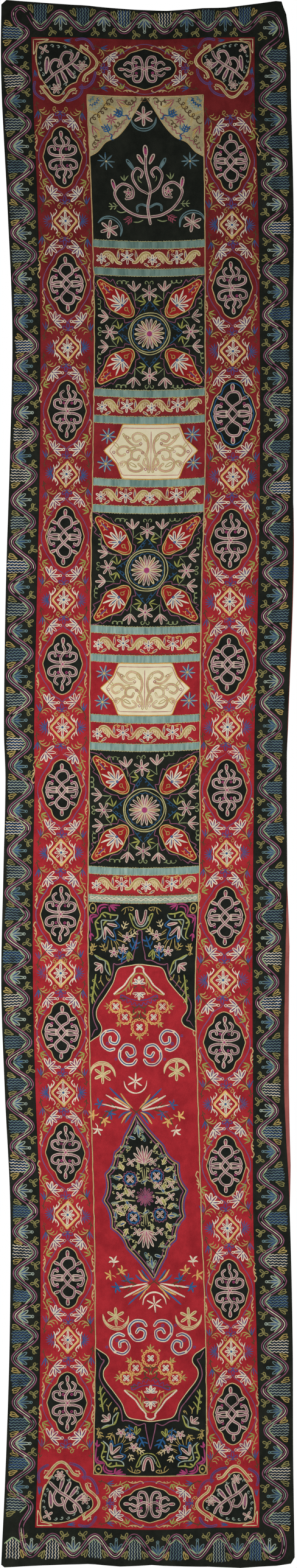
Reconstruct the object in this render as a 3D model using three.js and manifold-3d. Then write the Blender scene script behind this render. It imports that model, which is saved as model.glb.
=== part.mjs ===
// Embroidered wall hanging: a long pieced wool panel with a lining behind it and felt laid on its face.
// Millimetres, Z up. The origin is at the middle of the top edge, and the face looks towards -Y.
// A place on the cloth is given flat: "across" from the middle line, "down" from the top edge.

import * as THREE from 'three';
import { mergeVertices } from 'three/addons/utils/BufferGeometryUtils.js';
import Module from 'manifold-3d';

const wasm = await Module();
wasm.setup();

// Cloth thicknesses and the space left at a seam
const LINING_THICK = 1.0;
const PANEL_THICK = 1.5;
const FELT_THICK = 1.0;
const GAP = 0.3;
const SEAM = GAP / 2;

// Layers from the wall to the face, each with its far and near side along Y
const LINING = { far: LINING_THICK, near: 0 };
const PANEL = { far: -GAP, near: -GAP - PANEL_THICK };
const FELT = { far: PANEL.near - GAP, near: PANEL.near - GAP - FELT_THICK };

// Lines that run down the flat cloth: outer edges, border seams and the sides of the centre
const COLUMN = {
  leftEdge: -274,
  leftSeam: -216,
  midLeft: -110,
  midRight: 104,
  rightSeam: 207,
  rightEdge: 273,
};
const COLUMN_NAMES = Object.keys(COLUMN);

// The same lines as they hang, a row for each height
const HUNG_ROWS = [
  { down: 0, leftEdge: -283, leftSeam: -226, midLeft: -119, midRight: 104, rightSeam: 204, rightEdge: 264 },
  { down: 73, leftEdge: -284, leftSeam: -225, midLeft: -119, midRight: 104, rightSeam: 204, rightEdge: 272 },
  { down: 167, leftEdge: -282, leftSeam: -222, midLeft: -118, midRight: 105, rightSeam: 204, rightEdge: 274 },
  { down: 378, leftEdge: -271, leftSeam: -213, midLeft: -109, midRight: 108, rightSeam: 211, rightEdge: 279 },
  { down: 612, leftEdge: -262, leftSeam: -208, midLeft: -104, midRight: 109, rightSeam: 214, rightEdge: 278 },
  { down: 869, leftEdge: -267, leftSeam: -209, midLeft: -107, midRight: 109, rightSeam: 214, rightEdge: 278 },
  { down: 1103, leftEdge: -274, leftSeam: -214, midLeft: -111, midRight: 102, rightSeam: 211, rightEdge: 277 },
  { down: 1384, leftEdge: -278, leftSeam: -220, midLeft: -113, midRight: 99, rightSeam: 204, rightEdge: 267 },
  { down: 1480, leftEdge: -275, leftSeam: -219, midLeft: -114, midRight: 99, rightSeam: 203, rightEdge: 266 },
  { down: 1665, leftEdge: -279, leftSeam: -222, midLeft: -116, midRight: 98, rightSeam: 201, rightEdge: 266 },
  { down: 1876, leftEdge: -283, leftSeam: -222, midLeft: -115, midRight: 90, rightSeam: 200, rightEdge: 262 },
  { down: 2086, leftEdge: -276, leftSeam: -217, midLeft: -111, midRight: 95, rightSeam: 201, rightEdge: 261 },
  { down: 2297, leftEdge: -266, leftSeam: -209, midLeft: -105, midRight: 101, rightSeam: 201, rightEdge: 271 },
  { down: 2554, leftEdge: -267, leftSeam: -208, midLeft: -102, midRight: 110, rightSeam: 208, rightEdge: 277 },
  { down: 2788, leftEdge: -274, leftSeam: -213, midLeft: -105, midRight: 112, rightSeam: 213, rightEdge: 278 },
  { down: 2988, leftEdge: -283, leftSeam: -221, midLeft: -106, midRight: 113, rightSeam: 212, rightEdge: 281 },
];

// The top edge rises to its corners, and the bottom edge is cut a little uneven
const TOP_EDGE = [
  { across: -274, rise: 11 },
  { across: -264, rise: 20 },
  { across: -140, rise: 12 },
  { across: 38, rise: 4 },
  { across: 150, rise: 6.5 },
  { across: 252, rise: 18 },
  { across: 264, rise: 17 },
  { across: 273, rise: -8 },
];
const BOTTOM_EDGE = [
  { across: -274, down: 2986 },
  { across: -268, down: 2991 },
  { across: -200, down: 2987 },
  { across: -120, down: 2984 },
  { across: -60, down: 2986 },
  { across: 0, down: 2982 },
  { across: 100, down: 2989 },
  { across: 170, down: 2992 },
  { across: 240, down: 2988 },
  { across: 266, down: 2984 },
  { across: 273, down: 2972 },
];

// How far the lining comes out past the right edge; a minus value stays hidden
const LINING_INSET = 2;
const LINING_PEEK = [
  { down: 0, out: -LINING_INSET },
  { down: 900, out: -LINING_INSET },
  { down: 980, out: 1.5 },
  { down: 1380, out: 1.5 },
  { down: 1460, out: -1 },
  { down: 1680, out: 1 },
  { down: 1790, out: 8 },
  { down: 2080, out: 11 },
  { down: 2220, out: 6 },
  { down: 2330, out: -LINING_INSET },
  { down: 3000, out: -LINING_INSET },
];

// Soft folds: how far the cloth stands forward, at which edge (0 is right across) and over what height
const FOLDS = [
  { down: 330, side: -1, forward: 6, tall: 170 },
  { down: 420, side: 1, forward: -5, tall: 190 },
  { down: 760, side: -1, forward: -6, tall: 200 },
  { down: 900, side: 1, forward: 7, tall: 210 },
  { down: 1405, side: 0, forward: -5, tall: 130 },
  { down: 1190, side: -1, forward: 5, tall: 180 },
  { down: 1700, side: -1, forward: 7, tall: 210 },
  { down: 1960, side: 1, forward: -7, tall: 240 },
  { down: 2200, side: -1, forward: -5, tall: 190 },
  { down: 2420, side: 1, forward: 6, tall: 200 },
  { down: 2810, side: 0, forward: 5, tall: 120 },
  { down: 2990, side: -1, forward: 9, tall: 190 },
  { down: 2990, side: 1, forward: 7, tall: 230 },
];
const BROAD_SAG = 1.5;
const CENTRE_SAG = 4;

// Levels of the red border, the centre column and its ribbons
const RED_TOP = 51;
const RED_BOTTOM = 2914;
const RED_JOIN = 1405;
const CENTRE_TOP = 161;
const CENTRE_BOTTOM = 2811;
const RIBBON_WIDE = 14;
const RIBBON_DOWN = [446, 499, 732, 783, 904, 955, 1187, 1242, 1358, 1412, 1650, 1704];

// Lobed medallions of the side strips, a row for each pair
const MEDALLION = { halfWide: 39, halfTall: 60 };
const LARGE_MEDALLION = { row: 2, halfWide: 45, halfTall: 68 };
const MEDALLION_ROWS = [
  { left: 282, right: 289 },
  { left: 525, right: 532 },
  { left: 769, right: 775 },
  { left: 1011, right: 1017 },
  { left: 1255, right: 1256 },
  { left: 1498, right: 1498 },
  { left: 1737, right: 1742 },
  { left: 1963, right: 1983 },
  { left: 2195, right: 2220 },
  { left: 2435, right: 2458 },
  { left: 2675, right: 2696 },
];
const END_MEDALLIONS = [
  { name: 'medallion_top', across: -3, down: 108, halfWide: 59, halfTall: 40 },
  { name: 'medallion_bottom', across: -4, down: 2865, halfWide: 59, halfTall: 36 },
];
const CORNER_MEDALLIONS = [
  { name: 'medallion_corner_top_left', left: true, top: true, reachAcross: 113, reachDown: 113 },
  { name: 'medallion_corner_top_right', left: false, top: true, reachAcross: 105, reachDown: 104 },
  { name: 'medallion_corner_bottom_left', left: true, top: false, reachAcross: 105, reachDown: 114 },
  { name: 'medallion_corner_bottom_right', left: false, top: false, reachAcross: 111, reachDown: 107 },
];

// Outlines of the laid-on felt as shares of their half sizes, a quarter or a half of each shape
const LOBE_QUARTER = [
  [0, 1], [0.22, 0.95], [0.4, 0.85], [0.48, 0.73], [0.53, 0.63], [0.67, 0.55], [0.79, 0.45], [0.88, 0.26],
  [0.95, 0.12],
];
const CORNER_HALF = [
  [0.12, 0.12], [0.34, 0.08], [0.54, 0.1], [0.73, 0.17], [0.86, 0.26], [0.97, 0.32], [1, 0.41], [0.97, 0.5],
  [0.86, 0.58], [0.79, 0.68],
];
const CORNER_MIDDLE = [0.76, 0.76];
const HEXAGON_QUARTER = [[0, 1], [0.3, 1], [0.6, 1], [0.72, 0.46]];
const NICHE_CURVE = [[0, 0], [0.12, 0.17], [0.31, 0.46], [0.5, 0.66], [0.7, 0.75], [0.85, 0.91], [1, 1]];
const ARCH_CURVE = [
  [0, 0], [0.2, 0.02], [0.38, 0.045], [0.455, 0.11], [0.51, 0.23], [0.6, 0.33], [0.7, 0.43], [0.8, 0.52],
  [0.86, 0.61], [0.85, 0.7], [0.775, 0.78], [0.76, 0.845], [0.81, 0.91], [0.9, 0.95], [1, 1],
];
const NICHE_DROP = 118;
const UPPER_ARCH = { across: -9, top: 1828, leftLeg: 1981, rightLeg: 1961 };
const LOWER_ARCH = { across: -3, top: 2706, leftLeg: 2569, rightLeg: 2567 };

// The cusped medallion of the field: the points down its right side, from its middle, and how hollow
// the edge is from each to the next. The left side is the right one turned half round.
const FIELD_MEDALLION = { across: -7, down: 2275 };
const FIELD_POINTS = [
  { across: -13, down: -157, hollow: 0.03 },
  { across: 37, down: -97, hollow: 0.12 },
  { across: 67, down: -61, hollow: 0.12 },
  { across: 82, down: -10, hollow: 0.12 },
  { across: 76, down: 40, hollow: 0.12 },
  { across: 56, down: 82, hollow: 0.12 },
  { across: 36, down: 113, hollow: 0.03 },
];
const HOLLOW_SIDE = [[0, 0], [0.25, 0.75], [0.5, 1], [0.75, 0.75]];
const HEXAGONS = [
  { name: 'hexagon_1', across: 0, upper: 3, lower: 4, halfWide: 90 },
  { name: 'hexagon_2', across: -3, upper: 7, lower: 8, halfWide: 87 },
];

// Cloth colours
const BLACK_WOOL = 0x171c19;
const RED_WOOL = 0xa3282f;
const CREAM_FELT = 0xd9cfae;
const BEIGE_FELT = 0x9c8d6a;
const TEAL_SILK = 0x869c8b;
const LINING_COTTON = 0x86484a;
const CLOTH_ROUGHNESS = 0.9;

// Grid of the cloth's surface; flat lines that cross it are straight between these places
const GRID = { left: -310, right: 310, top: 45, bottom: -3020, columns: 6, rows: 34 };
const LEVEL_STEP = 76;
const LEVEL_COUNT = 42;
const ACROSS_LINES = [-274, -216, -163, -110, -56, -3, 51, 104, 155, 207, 273];
const LEAST_STEP = 1.5;
const CUTTER_DEPTH = 120;
const WELD_REACH = 1e-4;

const clamp01 = (value) => Math.min(1, Math.max(0, value));

// A smooth value between the rows of a table
function between(rows, key, name, place) {
  let i = 0;
  while (i < rows.length - 2 && place > rows[i + 1][key]) i += 1;
  const before = rows[Math.max(0, i - 1)];
  const a = rows[i];
  const b = rows[i + 1];
  const after = rows[Math.min(rows.length - 1, i + 2)];
  const span = b[key] - a[key];
  const f = clamp01((place - a[key]) / span);
  const slopeA = (b[name] - before[name]) / (b[key] - before[key]) * span;
  const slopeB = (after[name] - a[name]) / (after[key] - a[key]) * span;
  const f2 = f * f;
  const f3 = f2 * f;
  return (2 * f3 - 3 * f2 + 1) * a[name] + (f3 - 2 * f2 + f) * slopeA
    + (3 * f2 - 2 * f3) * b[name] + (f3 - f2) * slopeB;
}

// A straight-line value between the rows of a table
function straight(rows, key, name, place) {
  let i = 0;
  while (i < rows.length - 2 && place > rows[i + 1][key]) i += 1;
  const f = clamp01((place - rows[i][key]) / (rows[i + 1][key] - rows[i][key]));
  return rows[i][name] + f * (rows[i + 1][name] - rows[i][name]);
}

// How far the cloth sags at one of the lines across
function sagAt(across) {
  const middle = (COLUMN.midLeft + COLUMN.midRight) / 2;
  const half = (COLUMN.midRight - COLUMN.midLeft) / 2;
  const broad = BROAD_SAG * (1 - (across / COLUMN.rightEdge) ** 2);
  return broad + CENTRE_SAG * Math.max(0, 1 - ((across - middle) / half) ** 2);
}
const SAG_ROWS = ACROSS_LINES.map((across) => ({ across, sag: sagAt(across) }));

// Where a flat place hangs, as seen from the front
function hang(across, down) {
  let i = 0;
  while (i < COLUMN_NAMES.length - 2 && across > COLUMN[COLUMN_NAMES[i + 1]]) i += 1;
  const a = COLUMN_NAMES[i];
  const b = COLUMN_NAMES[i + 1];
  const f = (across - COLUMN[a]) / (COLUMN[b] - COLUMN[a]);
  const level = Math.floor(down / LEVEL_STEP);
  const g = down / LEVEL_STEP - level;
  const atLevel = (row) => {
    const xa = between(HUNG_ROWS, 'down', a, row * LEVEL_STEP);
    const xb = between(HUNG_ROWS, 'down', b, row * LEVEL_STEP);
    return xa + f * (xb - xa);
  };
  const x = atLevel(level) * (1 - g) + atLevel(level + 1) * g;
  return new THREE.Vector2(x, -down - straight(SAG_ROWS, 'across', 'sag', across));
}

// How far the hanging cloth lies along Y at a place seen from the front
function depth(x, z) {
  let y = 0;
  for (const fold of FOLDS) {
    const reach = fold.side === 0 ? 1 : clamp01(0.5 + 0.5 * fold.side * x / COLUMN.rightEdge) ** 2;
    y -= fold.forward * reach * Math.exp(-(((-z - fold.down) / fold.tall) ** 2));
  }
  return y;
}

// Points along one level or upright flat line, with a bend wherever the cloth has one
function run(fromAcross, fromDown, toAcross, toDown) {
  const level = fromDown === toDown;
  const from = level ? fromAcross : fromDown;
  const to = level ? toAcross : toDown;
  const upright = Array.from({ length: LEVEL_COUNT }, (_, i) => i * LEVEL_STEP);
  const low = Math.min(from, to) + LEAST_STEP;
  const high = Math.max(from, to) - LEAST_STEP;
  const bends = (level ? ACROSS_LINES : upright).filter((place) => place > low && place < high);
  if (to < from) bends.reverse();
  return [from, ...bends].map((place) => (level ? hang(place, fromDown) : hang(fromAcross, place)));
}

// A closed outline through flat corners
function through(corners) {
  return corners.flatMap((from, i) => {
    const to = corners[(i + 1) % corners.length];
    return run(from[0], from[1], to[0], to[1]);
  });
}

function rectangle(left, right, top, bottom) {
  return through([[left, top], [right, top], [right, bottom], [left, bottom]]);
}

// A shape given as a quarter, turned into all four quarters about its middle
function fourQuarters(quarter, shape) {
  const inner = quarter.slice(1);
  const turned = inner.slice().reverse();
  const points = [
    ...quarter,
    [1, 0],
    ...turned.map(([a, b]) => [a, -b]),
    [0, -1],
    ...inner.map(([a, b]) => [-a, -b]),
    [-1, 0],
    ...turned.map(([a, b]) => [-a, b]),
  ];
  return points.map(([a, b]) => hang(shape.across + a * shape.halfWide, shape.down - b * shape.halfTall));
}

// Points with hollow sides between them, each side drawn through four places
function cuspOutline(points, shape) {
  const cusps = [...points, ...points.map((p) => ({ ...p, across: -p.across, down: -p.down }))];
  return cusps.flatMap((from, i) => {
    const to = cusps[(i + 1) % cusps.length];
    const across = to.across - from.across;
    const down = to.down - from.down;
    return HOLLOW_SIDE.map(([along, dip]) => hang(
      shape.across + from.across + along * across - dip * from.hollow * down,
      shape.down + from.down + along * down + dip * from.hollow * across,
    ));
  });
}

function cornerOutline(corner) {
  const other = CORNER_HALF.slice(1).reverse().map(([a, b]) => [b, a]);
  const points = [...CORNER_HALF, CORNER_MIDDLE, ...other];
  const fromAcross = corner.left ? COLUMN.leftSeam : COLUMN.rightSeam;
  const fromDown = corner.top ? RED_TOP : RED_BOTTOM;
  const inAcross = corner.left ? corner.reachAcross : -corner.reachAcross;
  const inDown = corner.top ? corner.reachDown : -corner.reachDown;
  return points.map(([a, b]) => hang(fromAcross + a * inAcross, fromDown + b * inDown));
}

// The whole cloth's outline, moved out past the edge by a value for each side
function edgeOutline(side, rightSide) {
  const top = TOP_EDGE.map((p) => hang(p.across - Math.sign(p.across) * side, -p.rise + side));
  const bottom = BOTTOM_EDGE.map((p) => hang(p.across - Math.sign(p.across) * side, p.down - side)).reverse();
  const right = [];
  const left = [];
  for (let down = LEVEL_STEP; down < BOTTOM_EDGE[0].down - LEVEL_STEP / 2; down += LEVEL_STEP) {
    right.push(hang(COLUMN.rightEdge + rightSide(down), down));
    left.unshift(hang(COLUMN.leftEdge + side, down));
  }
  return [...top, ...right, ...bottom, ...left];
}

function solid(geometry) {
  geometry.deleteAttribute('normal');
  geometry.deleteAttribute('uv');
  const merged = mergeVertices(geometry, WELD_REACH);
  return new wasm.Manifold(new wasm.Mesh({
    numProp: 3,
    vertProperties: Float32Array.from(merged.attributes.position.array),
    triVerts: Uint32Array.from(merged.index.array),
  }));
}

// A cutter that runs through the cloth along Y, its holes going round the other way
function cutter(outline, holes) {
  const shape = new THREE.Shape(outline);
  for (const hole of holes) shape.holes.push(new THREE.Path(hole.slice().reverse()));
  const geometry = new THREE.ExtrudeGeometry(shape, { depth: CUTTER_DEPTH, bevelEnabled: false, steps: 1 });
  geometry.rotateX(Math.PI / 2);
  geometry.translate(0, CUTTER_DEPTH / 2, 0);
  return solid(geometry);
}

// A layer of the hanging cloth, wider than any piece that is cut from it
function layerSheet(layer) {
  const positions = [];
  const index = [];
  const wide = GRID.columns + 1;
  for (const side of [layer.near, layer.far]) {
    for (let r = 0; r <= GRID.rows; r += 1) {
      for (let c = 0; c <= GRID.columns; c += 1) {
        const x = GRID.left + (GRID.right - GRID.left) * c / GRID.columns;
        const z = GRID.top + (GRID.bottom - GRID.top) * r / GRID.rows;
        positions.push(x, depth(x, z) + side, z);
      }
    }
  }
  const back = wide * (GRID.rows + 1);
  const face = (a, b, c, d) => index.push(a, b, c, a, c, d);
  for (let r = 0; r < GRID.rows; r += 1) {
    for (let c = 0; c < GRID.columns; c += 1) {
      const a = r * wide + c;
      const below = a + wide;
      face(a, below, below + 1, a + 1);
      index.push(back + a, back + below + 1, back + below, back + a, back + a + 1, back + below + 1);
    }
  }
  for (let c = 0; c < GRID.columns; c += 1) {
    const low = GRID.rows * wide + c;
    face(c, c + 1, back + c + 1, back + c);
    face(low, back + low, back + low + 1, low + 1);
  }
  for (let r = 0; r < GRID.rows; r += 1) {
    const left = r * wide;
    const right = left + GRID.columns;
    face(left, back + left, back + left + wide, left + wide);
    face(right, right + wide, back + right + wide, back + right);
  }
  const geometry = new THREE.BufferGeometry();
  geometry.setAttribute('position', new THREE.Float32BufferAttribute(positions, 3));
  geometry.setIndex(index);
  return solid(geometry);
}

const hanging = new THREE.Group();
hanging.name = 'wall_hanging';
const SHEETS = new Map([LINING, PANEL, FELT].map((layer) => [layer, layerSheet(layer)]));

// Cuts one piece out of its layer
function piece(name, layer, colour, outline, holes = []) {
  const mesh = SHEETS.get(layer).intersect(cutter(outline, holes)).getMesh();
  const positions = [];
  for (let i = 0; i < mesh.vertProperties.length; i += mesh.numProp) {
    positions.push(mesh.vertProperties[i], mesh.vertProperties[i + 1], mesh.vertProperties[i + 2]);
  }
  const geometry = new THREE.BufferGeometry();
  geometry.setAttribute('position', new THREE.Float32BufferAttribute(positions, 3));
  geometry.setIndex(Array.from(mesh.triVerts));
  geometry.computeVertexNormals();
  const cloth = new THREE.MeshStandardMaterial({ color: colour, roughness: CLOTH_ROUGHNESS });
  const body = new THREE.Mesh(geometry, cloth);
  body.name = name;
  hanging.add(body);
}

// Lining, hidden behind the cloth but for its right edge
const lining = edgeOutline(LINING_INSET, (down) => straight(LINING_PEEK, 'down', 'out', down));
piece('lining', LINING, LINING_COTTON, lining);

// Black border, cut as one frame
const border = edgeOutline(0, () => 0);
const borderSides = [COLUMN.leftSeam - SEAM, COLUMN.rightSeam + SEAM];
const borderHole = rectangle(...borderSides, RED_TOP - SEAM, RED_BOTTOM + SEAM);
piece('border_black', PANEL, BLACK_WOOL, border, [borderHole]);

// Red border in two lengths that meet at a seam across both sides
const red = { left: COLUMN.leftSeam + SEAM, right: COLUMN.rightSeam - SEAM };
const centre = { left: COLUMN.midLeft, right: COLUMN.midRight };
piece('border_red_upper', PANEL, RED_WOOL, through([
  [red.left, RED_JOIN - SEAM], [red.left, RED_TOP + SEAM], [red.right, RED_TOP + SEAM],
  [red.right, RED_JOIN - SEAM], [centre.right + SEAM, RED_JOIN - SEAM],
  [centre.right + SEAM, CENTRE_TOP - SEAM],
  [centre.left - SEAM, CENTRE_TOP - SEAM], [centre.left - SEAM, RED_JOIN - SEAM],
]));
piece('border_red_lower', PANEL, RED_WOOL, through([
  [red.left, RED_JOIN + SEAM], [centre.left - SEAM, RED_JOIN + SEAM],
  [centre.left - SEAM, CENTRE_BOTTOM + SEAM],
  [centre.right + SEAM, CENTRE_BOTTOM + SEAM], [centre.right + SEAM, RED_JOIN + SEAM],
  [red.right, RED_JOIN + SEAM], [red.right, RED_BOTTOM - SEAM], [red.left, RED_BOTTOM - SEAM],
]));

// Panels of the centre, with their seams under the ribbons
const CENTRE_PANELS = [
  { name: 'niche_ground', colour: BLACK_WOOL, top: CENTRE_TOP, bottom: RIBBON_DOWN[0] },
  { name: 'band_upper', colour: RED_WOOL, top: RIBBON_DOWN[0], bottom: RIBBON_DOWN[1] },
  { name: 'square_1', colour: BLACK_WOOL, top: RIBBON_DOWN[1], bottom: RIBBON_DOWN[2] },
  { name: 'red_panel_1', colour: RED_WOOL, top: RIBBON_DOWN[2], bottom: RIBBON_DOWN[5] },
  { name: 'square_2', colour: BLACK_WOOL, top: RIBBON_DOWN[5], bottom: RIBBON_DOWN[6] },
  { name: 'red_panel_2', colour: RED_WOOL, top: RIBBON_DOWN[6], bottom: RIBBON_DOWN[9] },
  { name: 'square_3', colour: BLACK_WOOL, top: RIBBON_DOWN[9], bottom: RIBBON_DOWN[10] },
  { name: 'band_lower', colour: RED_WOOL, top: RIBBON_DOWN[10], bottom: RIBBON_DOWN[11] },
  { name: 'field_ground', colour: RED_WOOL, top: RIBBON_DOWN[11], bottom: CENTRE_BOTTOM },
];
for (const panel of CENTRE_PANELS) {
  const sides = [centre.left + SEAM, centre.right - SEAM];
  piece(panel.name, PANEL, panel.colour, rectangle(...sides, panel.top + SEAM, panel.bottom - SEAM));
}

// Ribbons over the seams of the centre
const FELT_INSET = 1;
const felt = { left: centre.left + FELT_INSET, right: centre.right - FELT_INSET };
RIBBON_DOWN.forEach((down, i) => {
  const name = `ribbon_${String(i + 1).padStart(2, '0')}`;
  const outline = rectangle(felt.left, felt.right, down - RIBBON_WIDE / 2, down + RIBBON_WIDE / 2);
  piece(name, FELT, TEAL_SILK, outline);
});

// Beige spandrels of the niche, a curve from its point down to each side
const nicheTop = CENTRE_TOP + FELT_INSET;
const nicheMiddle = (felt.left + felt.right) / 2;
for (const [name, side] of [['spandrel_left', felt.left], ['spandrel_right', felt.right]]) {
  const point = nicheMiddle + Math.sign(side - nicheMiddle);
  const curve = NICHE_CURVE.map(([a, b]) => hang(point + a * (side - point), nicheTop + b * NICHE_DROP));
  piece(name, FELT, BEIGE_FELT, [hang(side, nicheTop), ...curve]);
}

// Cream hexagons between two ribbons
for (const hexagon of HEXAGONS) {
  const top = RIBBON_DOWN[hexagon.upper] + RIBBON_WIDE / 2 + FELT_INSET;
  const bottom = RIBBON_DOWN[hexagon.lower] - RIBBON_WIDE / 2 - FELT_INSET;
  const shape = { ...hexagon, down: (top + bottom) / 2, halfTall: (bottom - top) / 2 };
  piece(hexagon.name, FELT, CREAM_FELT, fourQuarters(HEXAGON_QUARTER, shape));
}

// Black spandrels at both ends of the red field, each with two legs along its sides
function archOutline(edge, arch) {
  const half = (side, leg) => ARCH_CURVE.map(([a, b]) => [
    arch.across + a * (side - arch.across), arch.top + b * (leg - arch.top),
  ]);
  const left = half(felt.left, arch.leftLeg).slice(1).reverse();
  const right = half(felt.right, arch.rightLeg);
  const points = [...left, ...right].map(([across, down]) => hang(across, down));
  return [...points, ...run(felt.right, edge, felt.left, edge), hang(felt.left, edge)];
}
const upperEdge = RIBBON_DOWN[11] + RIBBON_WIDE / 2 + FELT_INSET;
piece('field_spandrel_top', FELT, BLACK_WOOL, archOutline(upperEdge, UPPER_ARCH));
const lowerEdge = CENTRE_BOTTOM - FELT_INSET;
piece('field_spandrel_bottom', FELT, BLACK_WOOL, archOutline(lowerEdge, LOWER_ARCH));
piece('field_medallion', FELT, BLACK_WOOL, cuspOutline(FIELD_POINTS, FIELD_MEDALLION));

// Lobed medallions on the red border
const stripMiddle = {
  left: (COLUMN.leftSeam + COLUMN.midLeft) / 2,
  right: (COLUMN.midRight + COLUMN.rightSeam) / 2,
};
MEDALLION_ROWS.forEach((row, i) => {
  for (const side of ['left', 'right']) {
    const { halfWide, halfTall } = side === 'right' && i === LARGE_MEDALLION.row ? LARGE_MEDALLION : MEDALLION;
    const shape = { across: stripMiddle[side], down: row[side], halfWide, halfTall };
    const name = `medallion_${side}_${String(i + 1).padStart(2, '0')}`;
    piece(name, FELT, BLACK_WOOL, fourQuarters(LOBE_QUARTER, shape));
  }
});
for (const end of END_MEDALLIONS) {
  const turned = LOBE_QUARTER.map(([a, b]) => [b, a]).reverse();
  const quarter = [[0, 1], ...turned.slice(0, -1)];
  piece(end.name, FELT, BLACK_WOOL, fourQuarters(quarter, end));
}
for (const corner of CORNER_MEDALLIONS) {
  piece(corner.name, FELT, BLACK_WOOL, cornerOutline(corner));
}

export default hanging;
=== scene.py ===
# Embroidered wall hanging: pieced wool, laid-on felt, silk ribbons and chain-stitch needlework.
# Sizes are millimetres on the flat cloth, "across" from its middle and "down" from its top edge.
# The hung cloth is in metres, Z up, with its face towards -Y.
import math

import bpy
import numpy as np
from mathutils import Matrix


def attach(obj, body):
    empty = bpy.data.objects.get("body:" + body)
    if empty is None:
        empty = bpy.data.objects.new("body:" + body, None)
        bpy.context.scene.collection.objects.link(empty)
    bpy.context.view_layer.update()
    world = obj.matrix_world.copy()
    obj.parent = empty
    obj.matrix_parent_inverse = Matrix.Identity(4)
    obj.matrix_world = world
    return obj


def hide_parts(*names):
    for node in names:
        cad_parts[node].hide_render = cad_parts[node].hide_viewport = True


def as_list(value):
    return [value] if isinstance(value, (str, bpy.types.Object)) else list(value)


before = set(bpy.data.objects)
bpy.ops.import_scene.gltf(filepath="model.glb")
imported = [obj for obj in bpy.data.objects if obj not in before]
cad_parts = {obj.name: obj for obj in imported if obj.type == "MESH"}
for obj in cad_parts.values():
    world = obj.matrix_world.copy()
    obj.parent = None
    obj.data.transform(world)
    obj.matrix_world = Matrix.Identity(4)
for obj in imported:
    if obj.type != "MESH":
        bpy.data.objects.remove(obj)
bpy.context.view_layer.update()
bpy.ops.object.select_all(action="DESELECT")

MM = 0.001
BODY = "root"

# Lines that run down the flat cloth: outer edges, border seams and the sides of the centre
LEFT_EDGE, LEFT_SEAM, CENTRE_LEFT, CENTRE_RIGHT, RIGHT_SEAM, RIGHT_EDGE = -274, -216, -110, 104, 207, 273
COLUMNS = np.array([LEFT_EDGE, LEFT_SEAM, CENTRE_LEFT, CENTRE_RIGHT, RIGHT_SEAM, RIGHT_EDGE], float)

# The same lines as they hang: down, left edge, left seam, centre left, centre right, right seam, right edge
HUNG_ROWS = np.array([
    (0, -283, -226, -119, 104, 204, 264),
    (73, -284, -225, -119, 104, 204, 272),
    (167, -282, -222, -118, 105, 204, 274),
    (378, -271, -213, -109, 108, 211, 279),
    (612, -262, -208, -104, 109, 214, 278),
    (869, -267, -209, -107, 109, 214, 278),
    (1103, -274, -214, -111, 102, 211, 277),
    (1384, -278, -220, -113, 99, 204, 267),
    (1480, -275, -219, -114, 99, 203, 266),
    (1665, -279, -222, -116, 98, 201, 266),
    (1876, -283, -222, -115, 90, 200, 262),
    (2086, -276, -217, -111, 95, 201, 261),
    (2297, -266, -209, -105, 101, 201, 271),
    (2554, -267, -208, -102, 110, 208, 277),
    (2788, -274, -213, -105, 112, 213, 278),
    (2988, -283, -221, -106, 113, 212, 281),
], float)

# Uneven edges: across and rise above the top line, across and level of the bottom hem
TOP_EDGE = [(-274, 11), (-264, 20), (-140, 12), (38, 4), (150, 6.5), (252, 18), (264, 17), (273, -8)]
BOTTOM_EDGE = [
    (-274, 2986), (-268, 2991), (-200, 2987), (-120, 2984), (-60, 2986), (0, 2982),
    (100, 2989), (170, 2992), (240, 2988), (266, 2984), (273, 2972),
]
# Levels of the points down both long edges: first, end, step
EDGE_LEVELS = (60, 2960, 60)
# How far the lining comes out past the right edge: down, out
LINING_INSET = 2
LINING_PEEK = [
    (0, -LINING_INSET), (900, -LINING_INSET), (980, 1.5), (1380, 1.5), (1460, -1), (1680, 1),
    (1790, 8), (2080, 11), (2220, 6), (2330, -LINING_INSET), (3000, -LINING_INSET),
]

# Soft folds: down, side (0 is right across), how far forward, over what height
FOLDS = [
    (330, -1, 6, 170), (420, 1, -5, 190), (760, -1, -6, 200), (900, 1, 7, 210), (1405, 0, -5, 130),
    (1190, -1, 5, 180), (1700, -1, 7, 210), (1960, 1, -7, 240), (2200, -1, -5, 190), (2420, 1, 6, 200),
    (2810, 0, 5, 120), (2990, -1, 9, 190), (2990, 1, 7, 230),
]
BROAD_SAG = 1.5
CENTRE_SAG = 4
# Creases pressed in by storing: across, down, turn, half length, half width, rise
CREASES = [
    (-165, 1425, 2, 60, 9, -1.3), (150, 1428, -3, 60, 9, -1.4), (0, 2800, 1, 270, 14, 1.6),
    (-60, 2540, -34, 70, 11, 1.2), (70, 2330, 20, 60, 10, -1.0), (-240, 900, 70, 90, 10, 1.0),
    (240, 1990, 82, 130, 12, 1.4), (-245, 2880, 40, 60, 10, 1.4), (236, 2890, -50, 70, 11, 1.3),
    (20, 350, 12, 60, 13, -0.9), (-40, 2010, 60, 70, 12, 1.0), (190, 470, 75, 90, 10, -1.0),
]
# Slight unevenness of the whole cloth: wave length across, wave length down, phase, height
PUCKERS = [(74, 91, 0.4, 0.35), (-53, 118, 2.1, 0.3), (131, 47, 4.0, 0.28), (-39, -63, 1.2, 0.22)]

# Faces of the layers, measured forward from the front of the lining
LINING_FACE, PANEL_FACE, FELT_FACE = 0.0, 1.8, 3.1
LINING_THICK, PANEL_THICK, FELT_THICK = 1.0, 1.5, 1.0
SMOOTH_ANGLE = math.radians(50)
# The black border's cut, laid out as one strip, in metres
BORDER_CUT = (0.063, 6.85)

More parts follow.
